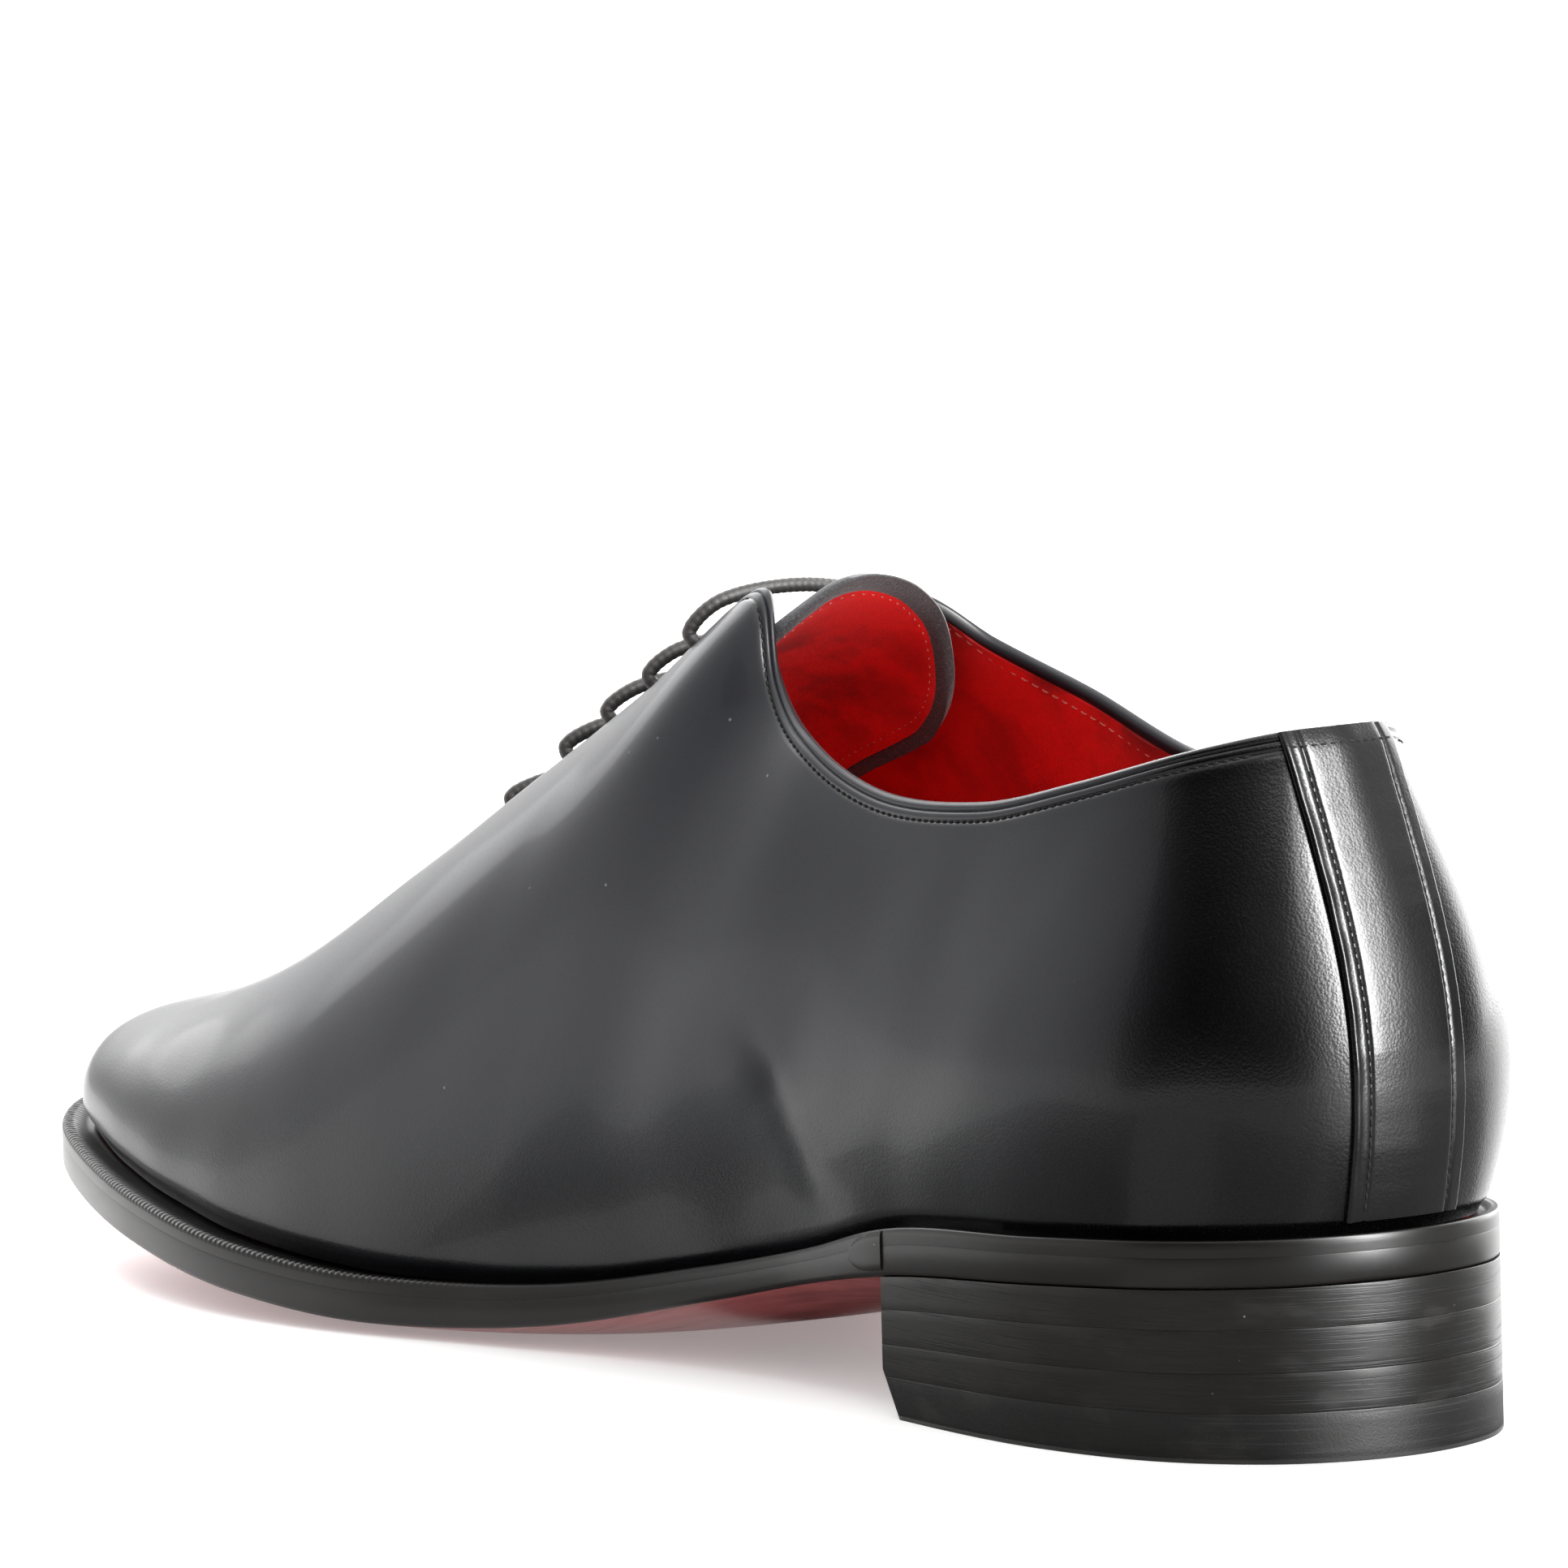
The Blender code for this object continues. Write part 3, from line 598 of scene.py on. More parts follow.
def shade(tone, *by):
    """A colour made darker or paler in each of its three parts."""
    return tuple(min(1.0, part * times) for part, times in zip(tone, by)) + (1,)


def calf_material(name):
    """Smooth calf, charcoal with a breath of blue, taken to black where the mesh says so: burnish at the
    heel, painted shade by the welt and along grooves.
    """
    made, tree, face = finish(name, 0.36, coat=0.10, coat_roughness=0.10, specular=0.24)
    where = place(tree)
    grain = use(tree, "Leather grain", where, Pebble=1.0 / sizes().grain, Wrinkle=0.5)
    creases = grain.outputs["Creases"]
    black = tuple(colours().burnish_and_shade)
    uneven = scaled(tree, maths(tree, "SUBTRACT", noise(tree, where, 45.0, 3.0), 0.5), 0.35)
    # Black where the mesh says so: burnish, and painted shade by the welt and along grooves
    burnt_and_shaded = maths(tree, "ADD", carried(tree, "burnish_and_shade"), uneven, clamp=True)
    base = blend(tree, burnt_and_shaded, tuple(colours().calf), black)
    # The creases between pebbles a little darker: painted shade
    base = blend(tree, scaled(tree, creases, 0.10), base, black)
    dust = use(tree, "Dust", where, Density=170.0, Amount=0.35)
    base = blend(tree, dust.outputs["Mask"], base, (0.32, 0.32, 0.34, 1))
    rough = maths(tree, "ADD", scaled(tree, burnt_and_shaded, -0.17, 0.43), scaled(tree, creases, 0.02))
    height = maths(tree, "MULTIPLY", grain.outputs["Height"], scaled(tree, burnt_and_shaded, 0.8, 0.15))
    feed(tree, face, Base_Color=base, Roughness=rough, Normal=bump(tree, height, 0.00006, 0.36))
    return made


def lining_material(name):
    """Soft red leather with rubbed, darker stains."""
    made, tree, face = finish(name, 0.72, sheen=0.05, specular=0.25)
    where = place(tree)
    grain = use(tree, "Leather grain", where, Pebble=3200.0, Wrinkle=0.9)
    red = tuple(colours().lining)
    cloud = noise(tree, where, 70.0, 6.0)
    base = blend(tree, ramp(tree, cloud, 0.40, 0.75), red, shade(red, 0.55, 0.45, 0.45))
    soil = maths(tree, "MULTIPLY", carried(tree, "soil"), ramp(tree, cloud, 0.42, 0.62))
    base = blend(tree, soil, base, (0.06, 0.004, 0.004, 1))
    rough = scaled(tree, grain.outputs["Creases"], 0.15, 0.62)
    pebbles = bump(tree, grain.outputs["Height"], 0.00005, 0.6)
    feed(tree, face, Base_Color=base, Roughness=rough, Normal=pebbles)
    return made


def nap_material(name):
    """Dark brushed leather of the tongue's border, with pale fibres."""
    made, tree, face = finish(name, 0.85, sheen=0.35)
    fibre = noise(tree, place(tree), 2600.0, 6.0)
    base = blend(tree, ramp(tree, fibre, 0.45, 0.75), (0.012, 0.011, 0.014, 1), (0.07, 0.066, 0.08, 1))
    rough = scaled(tree, fibre, 0.15, 0.75)
    feed(tree, face, Base_Color=base, Roughness=rough, Normal=bump(tree, fibre, 0.0002, 0.7))
    return made


def edge_material(name, rubbed):
    """Black-brown dressed leather edge with more or fewer level scratches and rubbed patches."""
    made, tree, face = finish(name, 0.38, coat=0.1, coat_roughness=0.3, specular=0.22)
    where = place(tree)
    worn = use(tree, "Edge scratches", where, Fineness=1.0)
    patches = worn.outputs["Patches"]
    base = blend(tree, scaled(tree, patches, 0.8 * rubbed), tuple(colours().edge), (0.012, 0.010, 0.009, 1))
    lines = scaled(tree, worn.outputs["Scratches"], rubbed)
    base = blend(tree, lines, base, (0.004, 0.003, 0.003, 1))
    # Black where the mesh says so: black dressing, with painted shade of the welt's groove by the upper
    base = blend(tree, carried(tree, "burnish_and_shade"), base, (0.0008, 0.0007, 0.0007, 1))
    dust = use(tree, "Dust", where, Density=260.0, Amount=0.5)
    base = blend(tree, dust.outputs["Mask"], base, (0.30, 0.29, 0.28, 1))
    rough = maths(tree, "ADD", scaled(tree, lines, 0.3, 0.34), scaled(tree, patches, 0.2 * rubbed))
    feed(tree, face, Base_Color=base, Roughness=rough, Normal=bump(tree, lines, -0.00004, 0.6))
    return made


def rubber_material(name):
    """Matte black rubber of the top piece, rubbed with level scratches."""
    made, tree, face = finish(name, 0.55, specular=0.3)
    where = place(tree)
    worn = use(tree, "Edge scratches", where, Fineness=0.8)
    base = blend(tree, worn.outputs["Patches"], (0.005, 0.0045, 0.0042, 1), (0.011, 0.010, 0.009, 1))
    rough = scaled(tree, worn.outputs["Scratches"], 0.2, 0.42)
    specks = bump(tree, noise(tree, where, 3000.0), 0.00004, 0.5)
    feed(tree, face, Base_Color=base, Roughness=rough, Normal=specks)
    return made


def sole_material(name):
    """Painted, polished underside with faint scuffs along its length."""
    made, tree, face = finish(name, 0.35, coat=0.4, coat_roughness=0.25)
    scuff = noise(tree, place(tree, (50, 700, 50)), 1.0, 5.0)
    red = tuple(colours().sole)
    base = blend(tree, ramp(tree, scuff, 0.45, 0.75), red, shade(red, 0.6, 0.5, 0.5))
    grain = use(tree, "Leather grain", place(tree), Pebble=1500.0, Wrinkle=0.6)
    rough = scaled(tree, scuff, 0.2, 0.28)
    pebbles = bump(tree, grain.outputs["Height"], 0.00004, 0.4)
    feed(tree, face, Base_Color=base, Roughness=rough, Normal=pebbles)
    return made


def thread_material(name, tone):
    """Twisted thread."""
    made, tree, face = finish(name, 0.75, specular=0.2)
    fibre = noise(tree, place(tree), 5000.0)
    base = blend(tree, ramp(tree, fibre, 0.4, 0.7), tone, shade(tone, 2.2, 2.2, 2.2))
    feed(tree, face, Base_Color=base, Normal=bump(tree, fibre, 0.00005, 0.5))
    return made


def cord_material(name):
    """Waxed, braided cord, darker between the strands: painted shade."""
    made, tree, face = finish(name, 0.62, sheen=0.15)
    fibre = noise(tree, place(tree), 4200.0, 4.0)
    cord = tuple(colours().cord)
    base = blend(tree, ramp(tree, fibre, 0.45, 0.75), cord, shade(cord, 2.2, 2.1, 2.0))
    # Painted shade in the hollows between strands
    base = blend(tree, carried(tree, "hollow"), base, shade(cord, 0.35, 0.35, 0.35))
    rough = scaled(tree, fibre, 0.25, 0.45)
    feed(tree, face, Base_Color=base, Roughness=rough, Normal=bump(tree, fibre, 0.00008, 0.6))
    return made


MADE_MATERIALS = {}
MAKERS = {
    "calf": calf_material,
    "red_lining": lining_material,
    "tongue_nap": nap_material,
    "dressed_edge": lambda name: edge_material(name, 0.08),
    "heel_edge": lambda name: edge_material(name, 0.7),
    "heel_rubber": rubber_material,
    "red_underside": sole_material,
    "dark_thread": lambda name: thread_material(name, (0.002, 0.002, 0.0022, 1)),
    "red_thread": lambda name: thread_material(name, (0.50, 0.16, 0.13, 1)),
    "waxed_cord": cord_material,
}


def material(name):
    if name not in MADE_MATERIALS:
        MADE_MATERIALS[name] = MAKERS[name](name)
    return MADE_MATERIALS[name]


# Meshes


def net(rows, columns, first=0, closed=False):
    """Quads over a grid of points, closed across the columns if asked."""
    i = np.arange(rows - 1)[:, None]
    j = np.arange(columns if closed else columns - 1)[None, :]
    k = (j + 1) % columns
    a = first + i * columns
    b = a + columns
    return np.stack([a + j, a + k, b + k, b + j], -1).reshape(-1, 4)


def border_of(rows, columns):
    """Places of a grid's outer points, in order round it."""
    at = np.arange(rows * columns).reshape(rows, columns)
    return np.concatenate([at[:, 0], at[-1, 1:], at[-2::-1, -1], at[0, -2:0:-1]])


def skirt(lower, upper):
    """Quads between two closed rings of points."""
    return np.stack([lower, np.roll(lower, -1), np.roll(upper, -1), upper], -1)


def sheet_faces(rows, columns):
    """Faces of a closed sheet from an outer and an inner grid of the same size."""
    size = rows * columns
    border = border_of(rows, columns)
    return np.concatenate([net(rows, columns), net(rows, columns, size), skirt(border, border + size)])


def tube_faces(rows, sides, first=0):
    """Quads of a tube and its two end caps."""
    caps = [np.arange(sides) + first, np.arange(sides) + first + (rows - 1) * sides]
    return [tuple(f) for f in net(rows, sides, first, closed=True)] + [tuple(c) for c in caps]


def in_scene(name, data):
    """An object for a mesh, lamp or camera."""
    made = bpy.data.objects.new(name, data)
    bpy.context.scene.collection.objects.link(made)
    return made


def turn_outward(mesh, weld=None):
    """Joins points that lie together and turns all faces outward."""
    work = bmesh.new()
    work.from_mesh(mesh)
    if weld:
        bmesh.ops.remove_doubles(work, verts=work.verts, dist=weld)
    bmesh.ops.recalc_face_normals(work, faces=work.faces)
    work.to_mesh(mesh)
    work.free()


def shell(name, points, faces):
    """A mesh from points of the last and faces."""
    mesh = bpy.data.meshes.new(name)
    points = np.reshape(points, (-1, 3)) + TO_ROW
    mesh.from_pydata(points.tolist(), [], [tuple(int(v) for v in face) for face in faces])
    return mesh


def piece(name, points, faces, looks, stands_for=(), marks=None, sharp=35, weld=2e-6, rows=None):
    """A named mesh in the row frame that rides on the root body. `marks` are values at its points."""
    mesh = shell(name, points, faces)
    for label, values in (marks or {}).items():
        layer = mesh.attributes.new(label, "FLOAT", "POINT")
        layer.data.foreach_set("value", np.asarray(values, np.float32).ravel())
    for look in looks if isinstance(looks, (list, tuple)) else [looks]:
        mesh.materials.append(material(look))
    if rows is not None:
        mesh.polygons.foreach_set("material_index", np.asarray(rows, np.int32))
    turn_outward(mesh, weld)
    mesh.polygons.foreach_set("use_smooth", np.ones(len(mesh.polygons), bool))
    mesh.set_sharp_from_angle(angle=math.radians(sharp))
    made = in_scene(name, mesh)
    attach(made, "root")
    if stands_for:
        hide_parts(*stands_for)
    return made


def cord_rings(line, radius, sides, squeeze, normals, braid, twist, strands):
    """Rings round a line with a parallel frame: points, and how deep between strands each lies."""
    along = unit(np.gradient(line, axis=0))
    one = np.cross(along[0], (0.3, 0.2, 0.9))
    run = run_length(line)
    angles = np.arange(sides) * 2 * math.pi / sides
    rings = []
    hollow = []
    for k, (point, axis) in enumerate(zip(line, along)):
        one = unit(one - axis * np.dot(one, axis))
        two = np.cross(axis, one)
        mottle = np.cos(strands * angles + twist * run[k]) * np.cos(strands * angles - twist * run[k])
        ring = (radius * (1 + braid * mottle))[:, None] * (
            np.cos(angles)[:, None] * one + np.sin(angles)[:, None] * two
        )
        # The cord is pressed flatter where it runs under the leather
        away = ring @ normals[k]
        rings.append(point + ring - np.outer(away * (1 - squeeze[k]), normals[k]))
        hollow.append(np.clip(0.35 - 0.65 * mottle, 0, 1))
    return np.array(rings), np.array(hollow)


STITCH_RINGS = 7
STITCH_SIDES = 6


def stitches(name, lines, look, radius, pitch, fill=0.72, dip=0.9):
    """Separate stitches along lines. Each line is points and the outward directions there."""
    points = []
    faces = []
    angles = np.arange(STITCH_SIDES) * 2 * math.pi / STITCH_SIDES
    thick = radius * np.array([0.45, 0.85, 1, 1, 1, 0.85, 0.45])[:, None, None]
    lift = radius * (0.25 - dip * np.linspace(-1, 1, STITCH_RINGS) ** 4)[:, None]
    for line, outward in lines:
        run = run_length(line)
        count = max(1, int(round(run[-1] / pitch)))
        for n in range(count):
            at = (n + 0.5 + np.linspace(-0.5, 0.5, STITCH_RINGS) * fill) * run[-1] / count
            out = points_at(outward, run, at)
            middle = points_at(line, run, at) + out * lift
            along = unit(np.gradient(middle, axis=0))
            across = unit(np.cross(along, out))
            over = np.cross(across, along)
            round_it = np.cos(angles)[:, None] * across[:, None] + np.sin(angles)[:, None] * over[:, None]
            faces += tube_faces(STITCH_RINGS, STITCH_SIDES, STITCH_RINGS * STITCH_SIDES * len(points))
            points.append((middle[:, None] + thick * round_it).reshape(-1, 3))
    return piece(name, np.concatenate(points), faces, look, weld=1e-7, sharp=60)


def ridge_between(grids, closed):
    """Points halfway between both sides along the ridge, where it is closed."""
    return (grids[1][closed, :1] + grids[-1][closed, :1]) / 2


def join_ends(grids):
    """Both sides' grids meet at the back and the toe."""
    for end in (0, -1):
        middle = (grids[1][end] + grids[-1][end]) / 2
        grids[1][end] = middle
        grids[-1][end] = middle


def both_sides(rings, marks, tall, closed):
    """One closed sheet from the two sides' rings, a ring per station with `tall` points on each
    face. It has no edge along the ridge where that is closed."""
    count, wide = rings[1].shape[:2]
    faces = []
    for start in (0, count * wide):
        quads = net(count, wide, start)
        column, row = np.divmod(quads[:, 0] - start, wide)
        rim = (row >= tall - 1) & (row < wide - tall)
        low = start + np.arange(count) * wide
        faces.append(quads[~(rim & (column >= np.argmax(closed)))])
        faces.append(np.stack([low[:-1], low[1:], low[1:] + wide - 1, low[:-1] + wide - 1], -1))
    points = np.concatenate([rings[side].reshape(-1, 3) for side in (1, -1)])
    return points, np.concatenate(faces), np.concatenate([marks[side].ravel() for side in (1, -1)])


# Shape of the upper


EDGE_ROUND = 0.00095
LEATHER = 0.0014
FEATHER_SUNK = 0.0009


def edge_share(share):
    """1 along the top line and throat, fading to 0 where the throat is closed."""
    return 1 - smooth(share, THROAT_END - 0.012, THROAT_END)


def hollow_of(points):
    """Depth of the soft creases at points, in metres."""
    depth = np.zeros(points.shape[:-1])
    whole = np.array([LENGTH, BALL_WIDTH, INSTEP])
    for start, end, deep, wide in CREASES:
        a = np.array(start) * whole
        b = np.array(end) * whole
        reach = np.clip(((points - a) @ (b - a)) / ((b - a) @ (b - a)), -0.2, 1.2)
        gap = np.linalg.norm(points - (a + reach[..., None] * (b - a)), axis=-1)
        ends = bell(np.maximum(0, np.abs(reach - 0.5) - 0.3), 0.35)
        depth = depth + deep * bell(gap, wide) * ends
    return depth


def relief(side, share, up, below, above):
    """How far the leather stands over the skin, with the distances below the edge and above the feather."""
    there = edge_share(share)
    size = sizes()
    crease = -0.00030 * bell(below - size.edge_fold, 0.00020)
    band = 0.00010 * bell(below - (size.edge_fold + size.edge_stitch) / 2, 0.00050)
    row = -0.00022 * bell(below - size.edge_stitch, 0.00026)
    past = 0.00006 * bell(below - size.edge_stitch - 0.0011, 0.0008)
    lift = (crease + band + row + past) * there
    tuck = -0.0011 * np.clip(1 - above / 0.0022, 0, 1) ** 2
    along = share * 61 + side
    wave = 0.00005 * np.sin(along * 1.7) * np.sin(up * 9 + side) + 0.00004 * np.sin(along * 0.9 + up * 5)
    # The waves fade out at the ridge, where the two sides meet
    wave = wave * smooth(below, 0.0, 0.014)
    return lift + tuck + wave - hollow_of(skin(side, share, up))


# Distances of the first rows below the top edge, in millimetres
NEAR_EDGE = (
    0.95, 1.15, 1.3, 1.4, 1.5, 1.65, 1.85, 2.1, 2.35, 2.6, 2.75, 2.9, 3.05, 3.3, 3.7, 4.3, 5.2, 6.4, 8.0,
)


def upper_columns():
    """Shares from heel to toe, close where the shape turns."""
    stops = (0, 0.12, 0.36, THROAT_TOP - 0.03, THROAT_TOP + 0.03, THROAT_END - 0.03, THROAT_END, 0.86, 1)
    counts = (22, 30, 26, 20, 30, 12, 20, 34)
    parts = [np.linspace(a, b, n + 1)[:-1] for a, b, n in zip(stops, stops[1:], counts)]
    return np.concatenate(parts + [[1.0]])


def stations(side, shares, low_rows=46):
    """Shares up, distances below the edge and above the feather for each column of the upper."""
    up, run = runs_down(side, shares)
    rows = []
    for line in run:
        near = np.array(NEAR_EDGE) * 0.001
        near = near[near < line[-1] * 0.5]
        t = np.linspace(0, 1, low_rows + len(NEAR_EDGE) - len(near) + 1)[1:]
        low = near[-1] + (line[-1] - near[-1]) * (1 - (1 - t) ** 1.25)
        below = np.concatenate([near, low])
        rows.append((np.interp(below, line, up), below, line[-1] - below))
    return np.moveaxis(np.array(rows), 1, 0)


def burn_and_shade(share, up, below, above):
    """How black the calf is made: burnished at the heel; darker over the waist above the welt and the toe's
    rim, burnish with painted shade of the joint with the welt; a dark line along the stitch row.
    """
    heel = 1 - smooth(share + 0.035 * np.sin(up * 3.1), 0.118, 0.215)
    # Burnish with painted shade of the joint with the welt, fading up from the feather
    foot = 1 - (0.5 + 0.5 * smooth(above, 0.001, 0.010)) * (0.25 + 0.75 * smooth(above, 0.006, 0.042))
    rim = 0.5 * smooth(share, 0.86, 1.0) * (1 - smooth(above, 0.004, 0.022))
    edge = 0.95 * bell(below - 0.0029, 0.0005) * edge_share(share)
    return np.clip(1 - (1 - heel) * (1 - 0.9 * foot) * (1 - rim) * (1 - edge), 0, 1)


def build_upper():
    """Outer face, rolled edge and inner face of the leather, both sides in one closed sheet."""
    shares = upper_columns()
    closed = shares >= THROAT_END
    there = edge_share(shares)[:, None]
    turns = np.radians(np.linspace(18, 162, 9))
    outer = {}
    inner = {}
    roll = {}
    marks = {}
    for side in (1, -1):
        up, below, above = stations(side, shares)
        share = np.broadcast_to(shares[:, None], up.shape)
        outer[side] = lift_off(side, share, up, relief(side, share, up, below, above))[0]
        thick = LEATHER + (2 * EDGE_ROUND - LEATHER) * (1 - smooth(below, 0.0018, 0.0023)) * there
        inner[side] = lift_off(side, share, up, -thick)[0]
        for grid in (outer[side], inner[side]):
            grid[:, -1, 2] -= FEATHER_SUNK
        sunk = EDGE_ROUND * (1 - np.cos(turns))[None, :] + 0 * there
        fall = EDGE_ROUND * (1 - np.sin(turns))[None, :] * there
        rise = drops_from_edge(side, shares, fall)
        share_there = np.broadcast_to(shares[:, None], rise.shape)
        roll[side] = lift_off(side, share_there, rise, -sunk)[0]
        burnt_and_shaded = burn_and_shade(share, up, below, above)
        marks[side] = np.concatenate([burnt_and_shaded[:, ::-1], burn_and_shade(share_there, rise, fall, 0.05), burnt_and_shaded], 1)
    for grids in (outer, inner):
        ridge = ridge_between(grids, closed)
        for side in (1, -1):
            grids[side][closed, :1] = ridge
            join_ends(grids)
    middle = (roll[1][0] + roll[-1][0]) / 2
    rings = {}
    for side in (1, -1):
        roll[side][0] = middle
        rings[side] = np.concatenate([outer[side][:, ::-1], roll[side], inner[side]], 1)
    return both_sides(rings, marks, outer[1].shape[1], closed)


def eyelets():
    """Each lace row: middle of the hole, outward direction and top edge on both sides, and the arch."""
    rows = []
    for share, arch in LACES:
        feet = {}
        for side in (1, -1):
            point, normal = lift_off(side, share, drop_from_edge(side, share, EYELET_INSET), 0.0)
            feet[side] = (point, normal, lift_off(side, share, 1.0, 0.0)[0])
        rows.append((feet, arch))
    return rows


def punch(made):
    """Cuts the ten lace holes through a piece."""
    points = []
    faces = []
    angles = np.arange(20)[:, None] * math.pi / 10
    for feet, _ in eyelets():
        for point, normal, _ in (feet[1], feet[-1]):
            one = unit(np.cross(normal, (1.0, 0, 0)))
            ring = EYELET_RADIUS * (np.cos(angles) * one + np.sin(angles) * np.cross(normal, one))
            faces += tube_faces(2, 20, 20 * len(points))
            points += [point + normal * 0.004 + ring, point - normal * 0.005 + ring]
    mesh = shell("punch", np.concatenate(points), faces)
    turn_outward(mesh)
    tool = in_scene("punch", mesh)
    cut = made.modifiers.new("holes", "BOOLEAN")
    cut.operation = "DIFFERENCE"
    cut.solver = "EXACT"
    cut.object = tool
    bpy.context.view_layer.update()
    done = bpy.data.meshes.new_from_object(made.evaluated_get(bpy.context.evaluated_depsgraph_get()))
    made.modifiers.clear()
    made.data = done
    bpy.data.objects.remove(tool, do_unlink=True)
    done.set_sharp_from_angle(angle=math.radians(50))


class OxfordUpper(bpy.types.Operator):
    """Calf upper with its rolled edge, crease and lace holes"""

    bl_idname = "oxford.upper"
    bl_label = "Upper"

    def execute(self, context):
        points, faces, burnt_and_shaded = build_upper()
        marks = {"burnish_and_shade": burnt_and_shaded}
        punch(piece("upper_calf", points, faces, "calf", ("upper",), marks, sharp=50))
        return {"FINISHED"}


LINING_FACE = -0.00205
LINING_BACK = -0.00146
LINING_SEAM = 0.0027


class OxfordLining(bpy.types.Operator):
    """Red lining inside the upper"""

    bl_idname = "oxford.lining"
    bl_label = "Lining"

    def execute(self, context):
        shares = upper_columns()
        closed = shares >= THROAT_END
        levels = np.concatenate([np.linspace(0, 0.004, 6), np.linspace(0.0055, 0.014, 6)])
        faces = {}
        backs = {}
        soil = {}
        for side in (1, -1):
            lines = []
            stain = []
            up, runs = runs_down(side, shares)
            for share, run in zip(shares, runs):
                start = sizes().lining_edge * edge_share(share) + 0.00002
                lower = np.linspace(0.016, 1, 34) * (run[-1] - start)
                below = np.sort(np.clip(start + np.concatenate([levels, lower]), 0, run[-1]))
                lines.append(np.interp(below, run, up))
                stain.append(0.9 * bell(below - start, 0.004) * smooth(share, 0.30, 0.36) * 0.6
                             + 0.7 * (1 - smooth(share, 0.0, 0.10)) * bell(below - 0.014, 0.012))
            up = np.array(lines)
            share = np.broadcast_to(shares[:, None], up.shape)
            wave = 0.00018 * np.sin(share * 95 + up * 11) * np.sin(up * 23 + share * 31 + side)
            ragged = 0.00010 * np.sin(share * 900) * (up > 0.96)
            faces[side] = lift_off(side, share, up, LINING_FACE + wave + ragged)[0]
            backs[side] = lift_off(side, share, up, np.full(up.shape, LINING_BACK))[0]
            soil[side] = np.concatenate([np.array(stain)[:, ::-1], stain], 1)
        for grids in (faces, backs):
            ridge = ridge_between(grids, closed)
            grids[1][closed, :1] = ridge
            grids[-1][closed, :1] = ridge
            join_ends(grids)
        rings = {side: np.concatenate([backs[side][:, ::-1], faces[side]], 1) for side in (1, -1)}
        points, quads, soiled = both_sides(rings, soil, faces[1].shape[1], closed)
        punch(piece("lining", points, quads, "red_lining", marks={"soil": soiled}, sharp=60))
        lines = []
        for side in (1, -1):
            share = np.linspace(0.02, THROAT_TOP - 0.012, 300)
            up = drops_from_edge(side, share, np.full(300, sizes().lining_edge + LINING_SEAM))
            spot, normal = lift_off(side, share, up, np.full(300, LINING_FACE - 0.00003))
            lines.append((spot, -normal))
        stitches("lining_stitches", lines, "red_thread", 0.00014, 0.0019, fill=0.6, dip=0.8)
        return {"FINISHED"}


def along_edge(side, first, last, below, height, count=260):
    """A line on the leather this far below the top edge, with the outward directions."""
    shares = np.linspace(first, last, count)
    reach = np.full(count, below)
    ups = drops_from_edge(side, shares, reach)
    lift = relief(side, shares, ups, reach, np.full(count, 0.05)) + height
    return lift_off(side, shares, ups, lift)


class OxfordEdgeStitches(bpy.types.Operator):
    """Stitch row below the top line and down the facings"""

    bl_idname = "oxford.edge_stitches"
    bl_label = "Edge stitches"

    def execute(self, context):
        size = sizes()
        lines = []
        for side in (1, -1):
            for first, last in ((0.078, THROAT_TOP - 0.006), (THROAT_TOP + 0.006, THROAT_END - 0.012)):
                lines.append(along_edge(side, first, last, size.edge_stitch, 0.00003))
        stitches("edge_stitches", lines, "dark_thread", size.stitch_radius, size.stitch_pitch)
        return {"FINISHED"}


def strip_points(across, ups, heights):
    """Points on the back strip and their outward directions: a row for each share up, a column
    for each distance across from the middle."""
    heights = np.broadcast_to(heights, (len(ups), len(across)))
    spots = np.zeros((len(ups), len(across), 3))
    normals = np.zeros_like(spots)
    shares = np.linspace(0, 0.12, 60)
    for side in (1, -1):
        mine = across * side >= 0
        runs = run_lengths(skin(side, shares[None, :], np.reshape(ups, (-1, 1))))
        share = np.array([np.interp(np.abs(across[mine]), run, shares) for run in runs])
        up = np.broadcast_to(np.reshape(ups, (-1, 1)), share.shape)
        spots[:, mine], normals[:, mine] = lift_off(side, share, up, heights[:, mine])
    spots[:, across == 0, 1] = 0
    normals[:, across == 0, 1] = 0
    return spots, normals


STRIP_TOP = 0.0004
STRIP_SEAM = 0.0067
# Distances from the strip's middle to its columns, in millimetres
STRIP_COLUMNS = (
    0, 2.2, 4.4, 5.6, 6.1, 6.35, 6.6, 6.85, 7.1, 7.5, 7.9, 8.3, 8.6, 8.85, 9.05, 9.2, 9.27,
)


